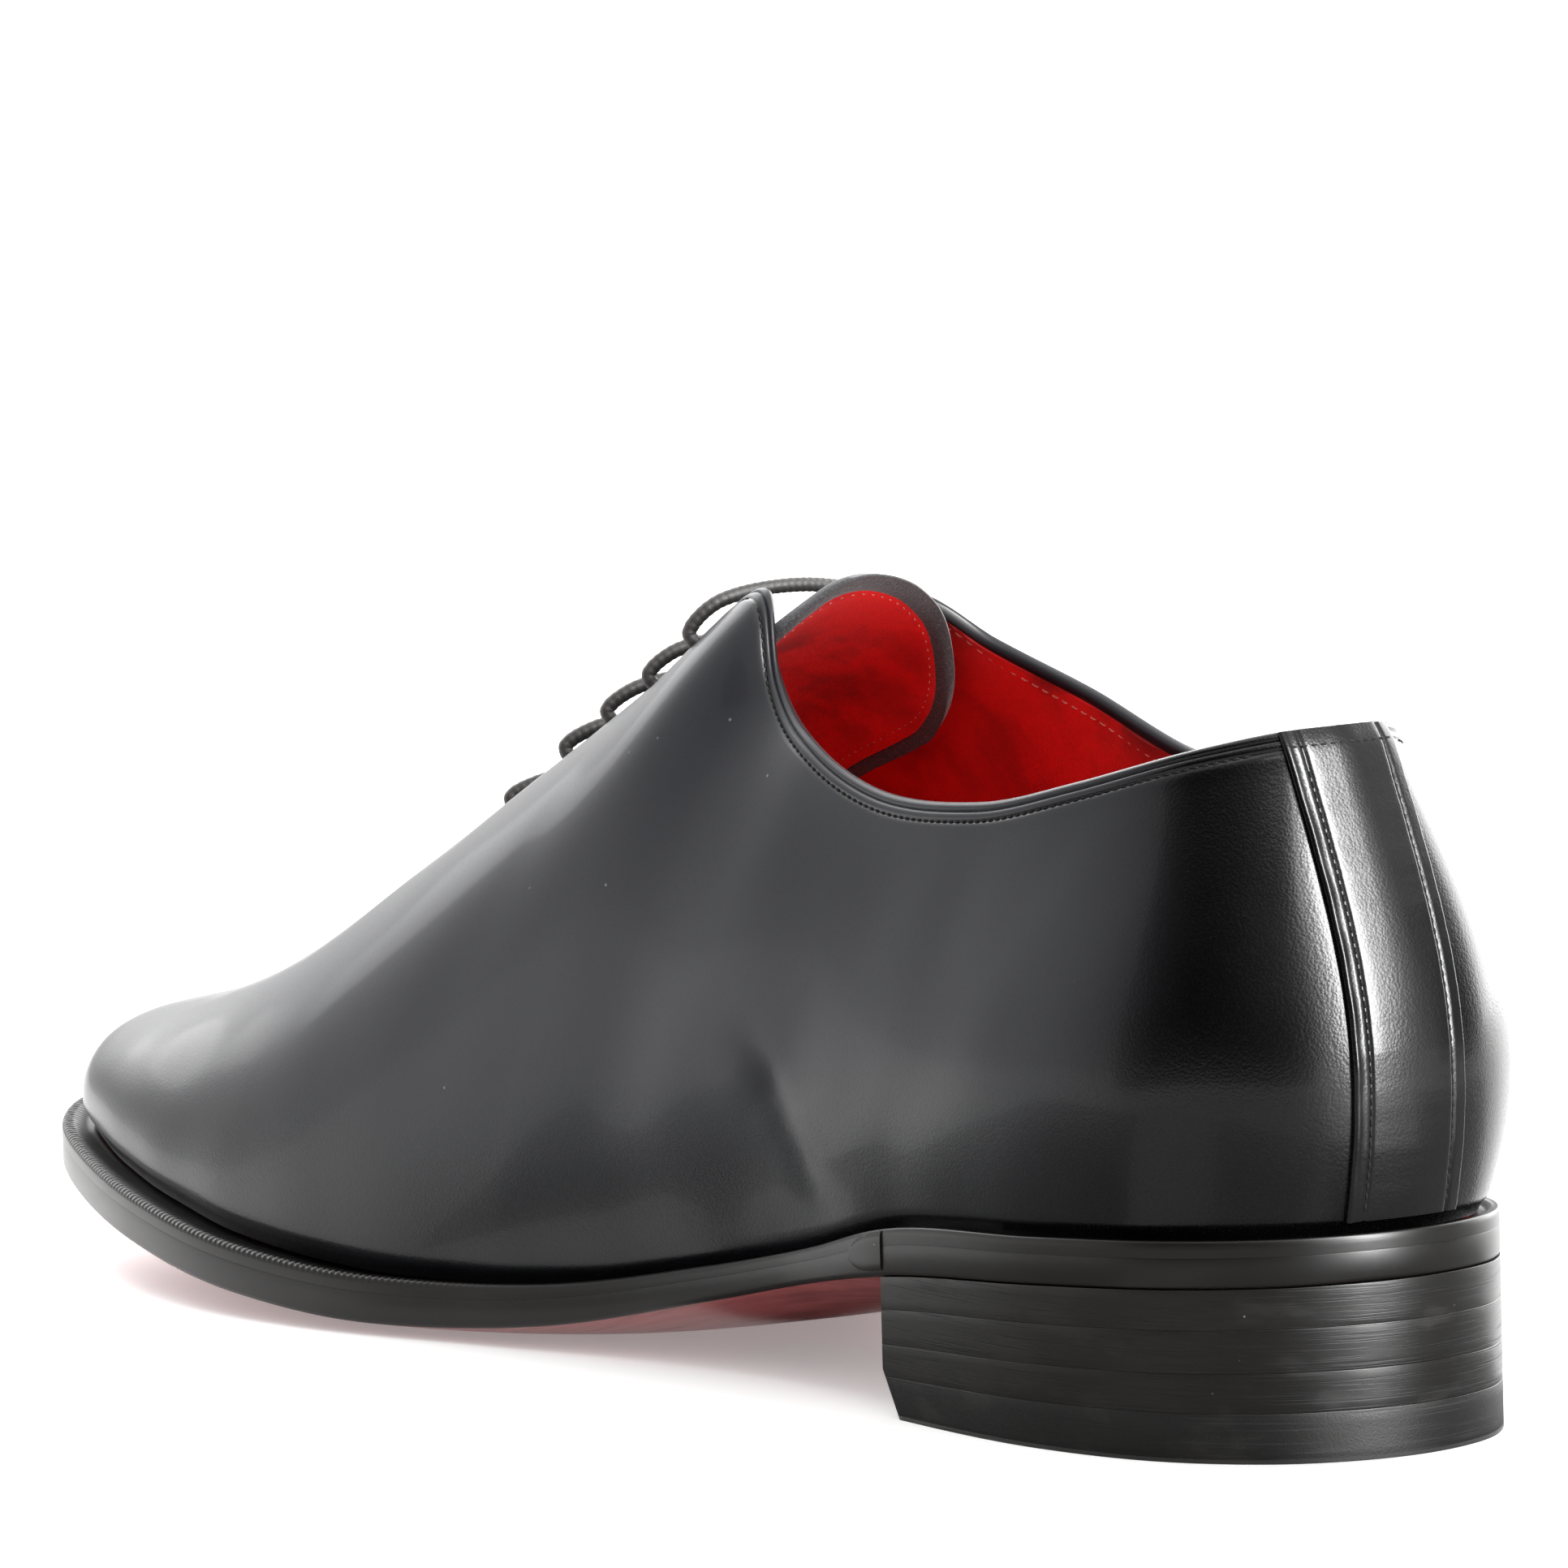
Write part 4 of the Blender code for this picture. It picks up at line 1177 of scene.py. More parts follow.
class OxfordBackStrip(bpy.types.Operator):
    """Strip over the rear seam with its beaded edges and stitches"""

    bl_idname = "oxford.back_strip"
    bl_label = "Back strip"

    def execute(self, context):
        size = sizes()
        half = np.array(STRIP_COLUMNS) * 0.001
        across = np.concatenate([-half[:0:-1], half])
        ups = 0.015 + (drop_from_edge(1, 0.03, STRIP_TOP) - 0.015) * np.linspace(0.004, 1.0, 70)
        edge = np.abs(across)
        row = np.arange(len(ups))[:, None]
        bead = np.sqrt(np.clip(1 - ((edge - 0.00868) / 0.00056) ** 2, 0, 1))
        bead = 0.00070 * bead * (0.7 + 0.3 * np.sign(across)) * (0.9 + 0.10 * np.sin(row * 0.7))
        body = 0.00062 * (1 - smooth(edge, 0.00905, 0.00925)) - 0.00026 * bell(edge - STRIP_SEAM, 0.00026)
        uneven = 0.00002 * np.sin(row * 0.9) + 0.000016 * np.sin(row * 2.3)
        rolled = 0.0006 * np.clip((ups - ups[-4]) / (ups[-1] - ups[-4]), 0, 1)[:, None] ** 2
        heights = 0.00012 + np.maximum(body + uneven, bead + 0.00030) - rolled
        heights = np.where(edge > 0.0092, 0.0, heights)
        outer = strip_points(across, ups, heights)[0]
        inner = strip_points(across, ups, -0.0002)[0]
        burnt_and_shaded = np.full((2, *outer.shape[:2]), 0.82)
        # Darker at the outer face's edges: painted shade of the groove beside the strip
        burnt_and_shaded[0] = np.clip(burnt_and_shaded[0] + 0.4 * bell(edge - 0.0092, 0.00025)[None, :], 0, 1)
        piece(
            "back_strip_calf", np.stack([outer, inner]), sheet_faces(*outer.shape[:2]), "calf",
            ("back_strip",), {"burnish_and_shade": burnt_and_shaded}, sharp=60,
        )
        lines = []
        for seam in (STRIP_SEAM, -STRIP_SEAM):
            spots, normals = strip_points(np.array([seam]), np.linspace(ups[1], ups[-6], 120), 0.00052)
            lines.append((spots[:, 0], normals[:, 0]))
        top = drop_from_edge(1, 0.03, size.edge_stitch)
        spots, normals = strip_points(np.linspace(-0.0085, 0.0085, 60), np.array([top]), 0.00062)
        lines.append((spots[0], normals[0]))
        stitches("strip_stitches", lines, "dark_thread", size.stitch_radius, size.stitch_pitch)
        return {"FINISHED"}


# Tongue


TONGUE_THICK = 0.002
TONGUE_CLEAR = 0.0012
TONGUE_TUCK = 0.0015
TONGUE_SIDE = 0.034
TONGUE_BACK = 0.033
TONGUE_ABOVE = 0.0162
TONGUE_OUTER = 0.0282
TONGUE_INNER = 0.0185
TONGUE_ROUND = 0.0260
TONGUE_DRAWN = 0.0020


def tongue_grid(depth, inset=0.0, rows=64, side_columns=26, bridging=18, across=61):
    """Points of one face of the tongue, from under the throat's end to the free top, side to side,
    drawn in from its edges by `inset`."""
    grid = []
    column = np.linspace(1, 0, side_columns)[None, :]
    climb = np.linspace(0, 1, rows)[:, None]
    reach = THROAT_END - THROAT_TOP - 0.005 + TONGUE_BACK * column**1.5
    share = THROAT_END + 0.01 - reach * climb
    tucked = depth + TONGUE_TUCK * (1 - climb) ** 3 + 0.01 * np.maximum(0, climb - 0.75) + 0 * column
    halves = {}
    for side in (1, -1):
        fall = skin(side, THROAT_TOP, 1.0)[2] - skin(side, np.minimum(share, THROAT_TOP), 1.0)[..., 2]
        drop = TONGUE_SIDE * column * (1 - 0.25 * climb**6) - np.maximum(0, fall)
        up = drops_from_edge(side, share.ravel(), np.maximum(0, drop).ravel() + 0.0005).reshape(share.shape)
        # The outer half is tucked deeper than the inner one
        deeper = TONGUE_DRAWN * (side < 0) * smooth(climb, 0.45, 0.80) * smooth(column, 0.1, 0.6)
        halves[side] = lift_off(side, share, up, -tucked - deeper)[0]
    spread = np.sin(np.linspace(-0.5, 0.5, across) * math.pi)
    for row, left, right in zip(climb[:, 0], halves[-1], halves[1]):
        gap = np.linalg.norm(left[-1] - right[-1])
        lead = unit(left[-1] - left[-2]) * gap * 0.9
        tail = unit(right[-2] - right[-1]) * gap * 0.9
        bridge = []
        for t in np.linspace(0, 1, bridging)[1:-1]:
            spot = (1 + 2 * t) * (1 - t) ** 2 * left[-1] + t * (1 - t) ** 2 * lead
            bridge.append(spot + t * t * (3 - 2 * t) * right[-1] - t * t * (1 - t) * tail)
        full = np.concatenate([left, bridge, right[::-1]])
        free = max(0.0, (row - 0.72) / 0.28)
        full = full + TONGUE_ABOVE * free * np.array([[-0.894, 0, 0.447]])
        run = run_length(full)
        middle = np.interp(len(full) / 2 - 0.5, np.arange(len(full)), run)
        short = spread * np.where(spread < 0, TONGUE_OUTER - inset, TONGUE_INNER - inset)
        grid.append(points_at(full, run, middle + short))
    return round_end(np.array(grid), inset)


def round_end(grid, inset):
    """The free end of a strip drawn in to a half round, row by row."""
    columns = grid.shape[1]
    run = run_length(grid[:, columns // 2])
    spread = np.sin(np.linspace(-0.5, 0.5, columns) * math.pi)
    reach = run[-1] - inset - (TONGUE_ROUND - inset) * (1 - np.sqrt(1 - 0.98 * np.abs(spread) ** 2.2))
    return np.stack([points_at(grid[:, j], run, run / run[-1] * reach[j]) for j in range(columns)], 1)


class OxfordTongue(bpy.types.Operator):
    """Tongue of brushed leather with its red lining and their stitches"""

    bl_idname = "oxford.tongue"
    bl_label = "Tongue"

    def execute(self, context):
        border = sizes().tongue_border
        depth = WALL + TONGUE_CLEAR + TONGUE_THICK
        front = tongue_grid(WALL + TONGUE_CLEAR)
        back = tongue_grid(depth)
        faces = sheet_faces(*front.shape[:2])
        middle = (front + back) / 2
        # The sheet thins to a round edge along its free borders
        from_side = np.minimum(run_lengths(middle), run_lengths(middle[:, ::-1])[:, ::-1])
        from_top = run_lengths(middle[::-1].swapaxes(0, 1)).T[::-1]
        in_from = np.clip(np.minimum(from_side, from_top) / 0.0010, 0, 1)
        thick = np.sqrt(np.clip(1 - (1 - in_from) ** 2, 0.02, 1))[..., None]
        points = np.stack([middle + (face - middle) * thick for face in (front, back)])
        piece("tongue_leather", points, faces, "tongue_nap", ("tongue",), sharp=60)
        # Red lining on the face towards the foot, inside a dark border
        under = tongue_grid(depth - 0.0004, border)
        over = tongue_grid(depth + 0.0003, border)
        rows, columns = under.shape[:2]
        climb = np.linspace(0, 1, rows)[:, None]
        spread = np.linspace(0, 1, columns)[None, :]
        rim = np.clip(np.minimum((1 - climb) * 30, np.minimum(spread, 1 - spread) * 26 + 0.03), 0, 1)
        lined = under + (over - under) * np.sqrt(1 - (1 - rim) ** 2)[..., None]
        soil = 0.5 * bell(climb - 0.82, 0.10) * bell(spread - 0.42, 0.22)
        marks = {"soil": np.stack([soil, soil])}
        piece("tongue_lining", np.stack([lined, under]), faces, "red_lining", marks=marks, sharp=60)
        seam = tongue_grid(depth + 0.0003, border + 0.0019)
        away = seam - tongue_grid(depth - 0.0004, border + 0.0019)
        first = rows // 2
        line, outward = [
            np.concatenate([grid[first:, 0], grid[-1, 1:-1], grid[first:, -1][::-1]]) for grid in (seam, away)
        ]
        lines = [(line, unit(outward))]
        stitches("tongue_stitches", lines, "red_thread", 0.00010, 0.0017, fill=0.25, dip=0.6)
        return {"FINISHED"}


# Laces

UNDER = -0.0026


def lace_over(rows, number, start):
    """Knots of a bar from one side to the other: point, normal, squeeze."""
    feet, arch = rows[number]
    slack = np.array([-0.002, 0, 0.0010]) * (number == 0)
    span = sizes().lace_radius + CLEAR + 0.0001
    crest = (feet[1][2] + feet[-1][2]) / 2 + np.array([0.35, 0, 0.9]) * arch + slack
    halves = []
    for point, normal, edge in (feet[start], feet[-start]):
        near = edge * 0.6 + point * 0.4 + normal * (span + arch * 0.45) + slack * 0.6
        halves.append([
            (point - normal * 0.0012, normal, 0.95),
            (point + normal * span, normal, 1.0),
            (near, normal, 1.0),
        ])
    lean = (feet[start][1] + feet[-start][1]) / 2
    return halves[0] + [(crest, lean, 1.0)] + halves[1][::-1]


def lace_below(first, last, side, aside):
    """Knots of a run under one facing between two holes."""
    knots = []
    for t, share in zip(np.linspace(0, 1, 5), np.linspace(LACES[first][0], LACES[last][0], 5)):
        up = drop_from_edge(side, share, EYELET_INSET + aside * np.sin(math.pi * t))
        knots.append((*lift_off(side, share, up, UNDER), 0.55))
    return knots


class OxfordLace(bpy.types.Operator):
    """One braided lace through the ten holes, straight bars above and runs below the facings"""

    bl_idname = "oxford.lace"
    bl_label = "Lace"

    def execute(self, context):
        rows = eyelets()
        route = lace_below(0, 1, 1, 0.0) + lace_over(rows, 1, 1)
        route += lace_below(1, 3, -1, 0.0028) + lace_over(rows, 3, -1)
        route += lace_below(3, 4, 1, 0.0) + lace_over(rows, 4, 1)
        route += lace_below(4, 2, -1, 0.0026) + lace_over(rows, 2, -1)
        route += lace_below(2, 0, 1, 0.0028) + lace_over(rows, 0, 1) + lace_below(0, 1, -1, 0.0)[:3]
        table = np.array([[*point, *normal, squeeze] for point, normal, squeeze in route])
        kept = [0]
        for k in range(1, len(table)):
            if np.linalg.norm(table[k, :3] - table[kept[-1], :3]) > 0.0004:
                kept.append(k)
        table = table[kept]
        line = smooth_curve(table, int(run_length(table[:, :3])[-1] * 1.05 / 0.00018))
        rings, hollow = cord_rings(
            line[:, :3], sizes().lace_radius, 20, line[:, 6], unit(line[:, 3:6]), 0.055, math.pi / 0.0011, 4,
        )
        bars = tuple(f"lace_bar_{n}" for n in range(1, 6))
        faces = tube_faces(len(line), 20)
        piece("lace", rings, faces, "waxed_cord", bars, {"hollow": hollow}, sharp=80, weld=1e-8)
        return {"FINISHED"}


# Sole and heel


def no_inset(x):
    return np.zeros_like(x)


def edging(name, start, turn, count, section, marks, stands_for, notch=None, sharp=40):
    """A dressed strip along the outline with one cross-section of (inset, height) functions, from
    one side's start round the toe or the heel to the other side's start."""
    inner = np.linspace(share_at(1, start), turn, count)
    outer = np.linspace(turn, share_at(-1, start), count)[1:]
    rings = []
    travelled = 0.0
    for side, shares in ((1, inner), (-1, outer)):
        base = outline(side, shares)[0]
        x = base[:, 0]
        run = run_length(base) + travelled
        travelled = run[-1]
        columns = []
        for k, (inset, height) in enumerate(section):
            plan = outline(side, shares, inset(x))[0]
            z = height(plan[:, 0])
            if notch is not None:
                z = z - notch(k, x, run)
            columns.append(np.column_stack([plan, z]))
        rings.append(np.stack(columns, 1))
    grid = np.concatenate(rings)
    rows, columns = grid.shape[:2]
    burnt_and_shaded = {"burnish_and_shade": np.tile(marks, (rows, 1))}
    return piece(name, grid, tube_faces(rows, columns), "dressed_edge", stands_for, burnt_and_shaded, sharp=sharp)


SEAT_END_ROWS = 11
SEAT_END_COLUMNS = 26


def heel_seat_end(side):
    """Round front end of the heel seat, lapped over the waist's edge: an outer and an inner grid."""
    shares = np.linspace(share_at(side, BREAST - 0.002), share_at(side, BREAST + 0.030), SEAT_END_COLUMNS)
    base = outline(side, shares)[0]
    x = base[:, 0]
    run = run_length(base)
    half = np.sqrt(np.clip(1 - np.clip((run / run[-1] - 0.30) / 0.70, 0, 1) ** 2, 0, 1))
    middle = (underside(x) + 0.0006 + seat(x)) / 2
    reach = (seat(x) - underside(x) - 0.0010) / 2 * half
    grids = ([], [])
    for v in np.linspace(-1, 1, SEAT_END_ROWS):
        proud = 0.00002 - 0.00028 * np.sqrt(np.clip(1 - v**6, 0, 1)) * np.clip(half * 4, 0, 1)
        for grid, inset in zip(grids, (proud, np.full(SEAT_END_COLUMNS, 0.0004))):
            grid.append(np.column_stack([outline(side, shares, inset)[0], middle + v * reach]))
    return np.reshape(grids, (-1, 3))


class OxfordWelt(bpy.types.Operator):
    """Welt with its wheeled edge and dark groove, and the rand round the heel seat"""

    bl_idname = "oxford.welt"
    bl_label = "Welt"

    def execute(self, context):
        size = sizes()
        low = lambda x: outsole_top(x) + 0.00002
        bevel = lambda x: 0.0007 * np.clip((x / LENGTH - 0.28) / 0.2, 0.35, 1)
        under_top = lambda drop: (lambda x: seat(x) - drop)
        section = (
            (no_inset, low),
            (no_inset, under_top(0.0012)),
            (lambda x: 0.10 * bevel(x), under_top(0.0007)),
            (lambda x: 0.40 * bevel(x), under_top(0.0003)),
            (lambda x: 0.80 * bevel(x), under_top(0.00008)),
            (lambda x: bevel(x) + 0.0001, seat),
            (lambda x: np.minimum(bevel(x) + 0.0007, margin(x) * 0.7), seat),
            (lambda x: np.minimum(bevel(x) + 0.0011, margin(x) * 0.8), under_top(0.0001)),
            (lambda x: margin(x) * 0.90, under_top(0.0006)),
            (lambda x: margin(x) * 1.10, under_top(0.0009)),
            (lambda x: margin(x) + 0.0016, under_top(0.0007)),
            (lambda x: margin(x) + WALL + 0.0028, under_top(0.0002)),
            (lambda x: margin(x) + WALL + 0.0028, low),
        )
        # Darker towards the upper: black dressing, with painted shade of the groove by the upper
        marks = (0, 0, 0, 0, 0, 0.1, 0.5, 0.85, 1, 1, 1, 1, 1)
        weight = (0, 0, 0.25, 0.8, 1, 1, 0.9, 0.3, 0, 0, 0, 0, 0)

        def notch(k, x, run):
            wave = np.cos(run * 2 * math.pi / size.notch_pitch + k * 0.35)
            shown = smooth(x / LENGTH, 0.52, 0.66)
            return weight[k] * size.notch_depth * shown * np.clip(0.5 + 0.9 * wave, 0, 1)

        edging("welt_wheeled", BREAST + 0.0002, 1.0, 1000, section, marks, ("welt",), notch, sharp=75)
        edging("heel_rand_dressed", BREAST - 0.0002, 0.0, 130, section, marks, ("heel_rand",), sharp=50)
        points = np.concatenate([heel_seat_end(1), heel_seat_end(-1)])
        faces = sheet_faces(SEAT_END_ROWS, SEAT_END_COLUMNS)
        faces = np.concatenate([faces, faces + len(points) // 2])
        marks = {"burnish_and_shade": np.zeros(len(points))}
        piece("heel_seat_ends", points, faces, "dressed_edge", marks=marks, weld=1e-7)
        return {"FINISHED"}


def ring_levels(start, end, count):
    """Shares along each side between two shares of LENGTH."""
    both = []
    for side in (1, -1):
        first = share_at(side, start) if start > 0 else 0.0
        last = share_at(side, end) if end < 1 else 1.0
        both.append(np.linspace(first, last, count))
    return both


def level(where, inset, height, crown=None, across=24):
    """A grid from side to side of the outline."""
    left, right = [
        outline(side, shares, np.full(len(shares), inset))[0] for side, shares in zip((1, -1), where)
    ]
    t = (1 - np.cos(np.linspace(0, math.pi, across + 1)))[None, :, None] / 2
    plan = left[:, None] * (1 - t) + right[:, None] * t
    z = height(plan[..., 0])
    if crown is not None:
        bow = 1 - np.abs(2 * t[..., 0] - 1) ** 4
        width = np.linalg.norm(left - right, axis=1)[:, None]
        z = np.maximum(z - crown(plan[..., 0]) * bow * np.clip(width / 0.03, 0, 1), 0.0)
    return np.dstack([plan, z])


def layered(name, levels, looks, stands_for, faces_look=(0, 0, 0), sharp=40):
    """A plate from grids of the same size, bottom one first."""
    rows, columns = levels[0].shape[:2]
    size = rows * columns
    border = border_of(rows, columns)
    points = [levels[0].reshape(-1, 3), levels[-1].reshape(-1, 3)]
    points += [grid.reshape(-1, 3)[border] for grid in levels[1:-1]]
    rings = [border]
    rings += [np.arange(len(border)) + 2 * size + k * len(border) for k in range(len(levels) - 2)]
    rings.append(border + size)
    faces = [net(rows, columns), net(rows, columns, size)]
    faces += [skirt(lower, upper) for lower, upper in zip(rings, rings[1:])]
    looks_at = [faces_look[0], faces_look[2]] + [faces_look[1]] * (len(rings) - 1)
    kinds = np.concatenate([np.full(len(part), look) for part, look in zip(faces, looks_at)])
    points = np.concatenate(points)
    marks = {"burnish_and_shade": np.zeros(len(points))}
    return piece(name, points, np.concatenate(faces), looks, stands_for, marks, sharp=sharp, rows=kinds)


class OxfordSole(bpy.types.Operator):
    """Outsole with its dressed edge and painted underside"""

    bl_idname = "oxford.sole"
    bl_label = "Outsole"

    def execute(self, context):
        heel_part = ring_levels(0, BREAST + 0.0007, 60)
        fore_part = ring_levels(BREAST + 0.0040, 1, 190)
        where = [np.concatenate(pair) for pair in zip(heel_part, fore_part)]

        def crown(x):
            ahead = np.clip((x - BREAST * LENGTH - 0.0002) / 0.001, 0, 1)
            return ahead * SOLE_CROWN * flowing(PROFILE, 4, x / LENGTH)

        levels = [
            level(where, 0.00075, underside, crown),
            level(where, 0.00050, lambda x: underside(x) + 0.00006),
            level(where, 0.00018, lambda x: underside(x) + 0.00030),
            level(where, 0.0, lambda x: underside(x) + 0.00075),
            level(where, 0.0, lambda x: outsole_top(x) - 0.00015),
            level(where, 0.00003, outsole_top),
        ]
        looks = ["red_underside", "dressed_edge"]
        layered("outsole_leather", levels, looks, ("outsole",), (0, 1, 1))
        return {"FINISHED"}


CORNER_FACING = (0.67, 0.74, 0.0)
CORNER_DEEP = 0.0027
CORNER_TALL = 0.0065


def chamfer(grid, corner):
    """Pulls points back to the sloping face of the cut inner front corner."""
    facing = np.array(CORNER_FACING)
    slope = unit(facing * CORNER_TALL - np.array([0, 0, CORNER_DEEP]))
    beyond = (grid - np.array([corner[0], corner[1], CORNER_TALL])) @ slope
    step = np.maximum(beyond, 0) / (facing @ slope)
    low = grid[..., 2:] < CORNER_TALL
    return np.where(low, grid - step[..., None] * facing, grid)


class OxfordHeel(bpy.types.Operator):
    """Three leather lifts and the rubber top piece, edges dressed together"""

    bl_idname = "oxford.heel"
    bl_label = "Heel"

    def execute(self, context):
        corner = outline(1, share_at(1, BREAST))[0]
        where = ring_levels(0, BREAST - 0.0005, 90)
        steps = [(0.00004, 0.0), (0.00001, 0.00003), (0.0, 0.00009)]
        for name, low, high in STACK:
            base = lambda x, low=low: underside(x) * low + (0.00001 if low else 0.0)
            top = lambda x, high=high: underside(x) * high - 0.00001
            levels = [level(where, inset, lambda x, r=rise: base(x) + r) for inset, rise in steps]
            for t in (0.25, 0.5, 0.75):
                levels.append(level(where, 0.0, lambda x, t=t: base(x) * (1 - t) + top(x) * t))
            levels += [level(where, inset, lambda x, r=rise: top(x) - r) for inset, rise in steps[::-1]]
            levels = [chamfer(grid, corner) for grid in levels]
            look, slot = ("heel_edge", "edge_leather") if low else ("heel_rubber", "top_piece_rubber")
            layered(name + "_dressed", levels, [look], (name,), sharp=45)
        return {"FINISHED"}


class OxfordSock(bpy.types.Operator):
    """Red sock on the insole"""

    bl_idname = "oxford.sock"
    bl_label = "Sock"

    def execute(self, context):
        where = ring_levels(0, 1, 150)
        t = np.linspace(0, 1, 41)[None, :, None]
        edge = 1 - np.abs(2 * t[..., 0] - 1) ** 6
        grids = []
        for rise, extra in ((0.0004, 0.0), (0.0020, 0.0), (0.0024, 0.0003), (0.0026, 0.0010)):
            left, right = [
                outline(side, shares, margin(outline(side, shares)[0][:, 0]) + WALL + 0.0006 + extra)[0]
                for side, shares in zip((1, -1), where)
            ]
            plan = left[:, None] * (1 - t) + right[:, None] * t
            wave = 0.00012 * np.sin(plan[..., 0] * 240) * np.sin(plan[..., 1] * 310)
            low = (wave - 0.0002) * edge * (rise > 0.0021)
            grids.append(np.dstack([plan, seat(plan[..., 0]) + rise + low]))
        made = layered("sock", grids, ["red_lining"], ("insole",), sharp=50).data
        spots = np.zeros(len(made.vertices) * 3, np.float32)
        made.vertices.foreach_get("co", spots)
        x = spots.reshape(-1, 3)[:, 0] - TO_ROW[0]
        soil = 0.5 * bell(x - 0.045, 0.03) + 0.5 * bell(x - 0.21, 0.04)
        made.attributes.new("soil", "FLOAT", "POINT").data.foreach_set("value", soil.astype(np.float32))
        return {"FINISHED"}


# Studio


FRAME_PIXELS = 1932
AIM = (0.130, 0.0, 0.050)
CAMERA_TURN = 35.21
CAMERA_RISE = 7.41
CAMERA_ROLL = -1.40
CAMERA_AWAY = 2.2989
FOCAL_PIXELS = 20213.0
MIDDLE_PIXELS = (76.1, 261.7)
SENSOR = 36.0


def camera_axes():
    """Right, up and back directions of the camera before its roll."""
    turn = math.radians(CAMERA_TURN)
    rise = math.radians(CAMERA_RISE)
    back = np.array([-math.cos(turn) * math.cos(rise), math.sin(turn) * math.cos(rise), math.sin(rise)])
    right = np.array([-math.sin(turn), -math.cos(turn), 0.0])
    up = np.cross(back, right)
    return right, up, back


def softbox(name, where, size, power):
    """A rectangular light of a width and height in metres, aimed at the shoe."""
    lamp = bpy.data.lights.new(name, "AREA")
    lamp.shape = "RECTANGLE"
    lamp.size, lamp.size_y = size
    lamp.energy = power
    made = in_scene(name, lamp)
    made.location = where
    made.rotation_euler = (Vector((0, 0, 0.05)) - Vector(where)).to_track_quat("-Z", "Y").to_euler()
    made.visible_camera = False
    return made


def round_camera(degrees, away, height):
    """A place round the shoe: degrees to the camera's right, distance, height."""
    right, _, back = camera_axes()
    flat = unit(np.array([back[0], back[1], 0]))
    turn = math.radians(degrees)
    return Vector(away * (math.cos(turn) * flat + math.sin(turn) * right) + np.array([0, 0, height]))


def curtain(name, first, last, away, high):
    """A black curtain from the floor up, on an arc round the shoe."""
    turns = np.linspace(first, last, 11)
    rows = [[round_camera(turn, away, height) for turn in turns] for height in (0.001, high)]
    return reflected_sheet(name, rows, 0.004)


def floor_shadow_sheet(name, middle, first, last, reach, grey):
    """A grey sheet on the floor, on an arc round a place under the shoe: painted shadow of the floor, seen
    only in reflections.
    """
    start = Vector(middle) + Vector((0, 0, 0.0006))
    turns = np.linspace(first, last, 11)
    rows = [[start + round_camera(turn, away, 0) for turn in turns] for away in (0.045, reach)]
    return reflected_sheet(name, rows, grey)


def reflected_sheet(name, rows, grey):
    """A sheet between two rows of points, seen only in reflections."""
    mesh = bpy.data.meshes.new(name)
    mesh.from_pydata([tuple(spot) for row in rows for spot in row], [], net(2, len(rows[0])).tolist())
    look, tree, face = finish(name, 1.0, specular=0.0)
    mottle = add(tree, "TexNoise", Scale=40.0).outputs["Fac"]
    full = (grey, grey, grey, 1)
    feed(tree, face, Base_Color=blend(tree, mottle, shade(full, 0.8, 0.8, 0.8), full))
    mesh.materials.append(look)
    made = in_scene(name, mesh)
    made.visible_camera = False
    made.visible_diffuse = False
    made.visible_shadow = False
    made.visible_transmission = False
    return made


def lay_floor():
    """Pale paper under the shoe that glows a little, so its shadows stay light."""
    reach = 6.0
    corners = [(-reach, -reach, 0), (reach, -reach, 0), (reach, reach, 0), (-reach, reach, 0)]
    mesh = bpy.data.meshes.new("floor")
    mesh.from_pydata(corners, [], [(0, 1, 2, 3)])
    paper, tree, face = finish("floor_paper", 0.6, specular=0.3)
    cloud = noise(tree, place(tree), 3.0)
    base = blend(tree, cloud, (0.93, 0.93, 0.925, 1), (0.96, 0.955, 0.95, 1))
    feed(tree, face, Base_Color=base, Emission_Color=(1, 1, 1, 1), Emission_Strength=0.24)
    mesh.materials.append(paper)
    in_scene("floor", mesh)


def place_camera():
    """The camera at the photograph's angle."""
    right, up, back = camera_axes()
    tilt = math.radians(CAMERA_ROLL)
    turned_right = right * math.cos(tilt) + up * math.sin(tilt)
    turned_up = up * math.cos(tilt) - right * math.sin(tilt)
    spot = np.array(AIM) + TO_ROW + back * CAMERA_AWAY
    # The aim lies off the picture's middle by MIDDLE_PIXELS, so the camera turns by that much
    back = unit(back + (turned_right * MIDDLE_PIXELS[0] - turned_up * MIDDLE_PIXELS[1]) / FOCAL_PIXELS)
    turned_right = unit(turned_right - back * (turned_right @ back))
    cam = bpy.data.cameras.new("camera")
    cam.sensor_width = SENSOR
    cam.lens = FOCAL_PIXELS * SENSOR / FRAME_PIXELS
    cam.clip_end = 100
    made = in_scene("camera", cam)
    basis = Matrix(np.array([turned_right, np.cross(back, turned_right), back]).T.tolist()).to_4x4()
    basis.translation = Vector(spot)
    made.matrix_world = basis
    bpy.context.scene.camera = made


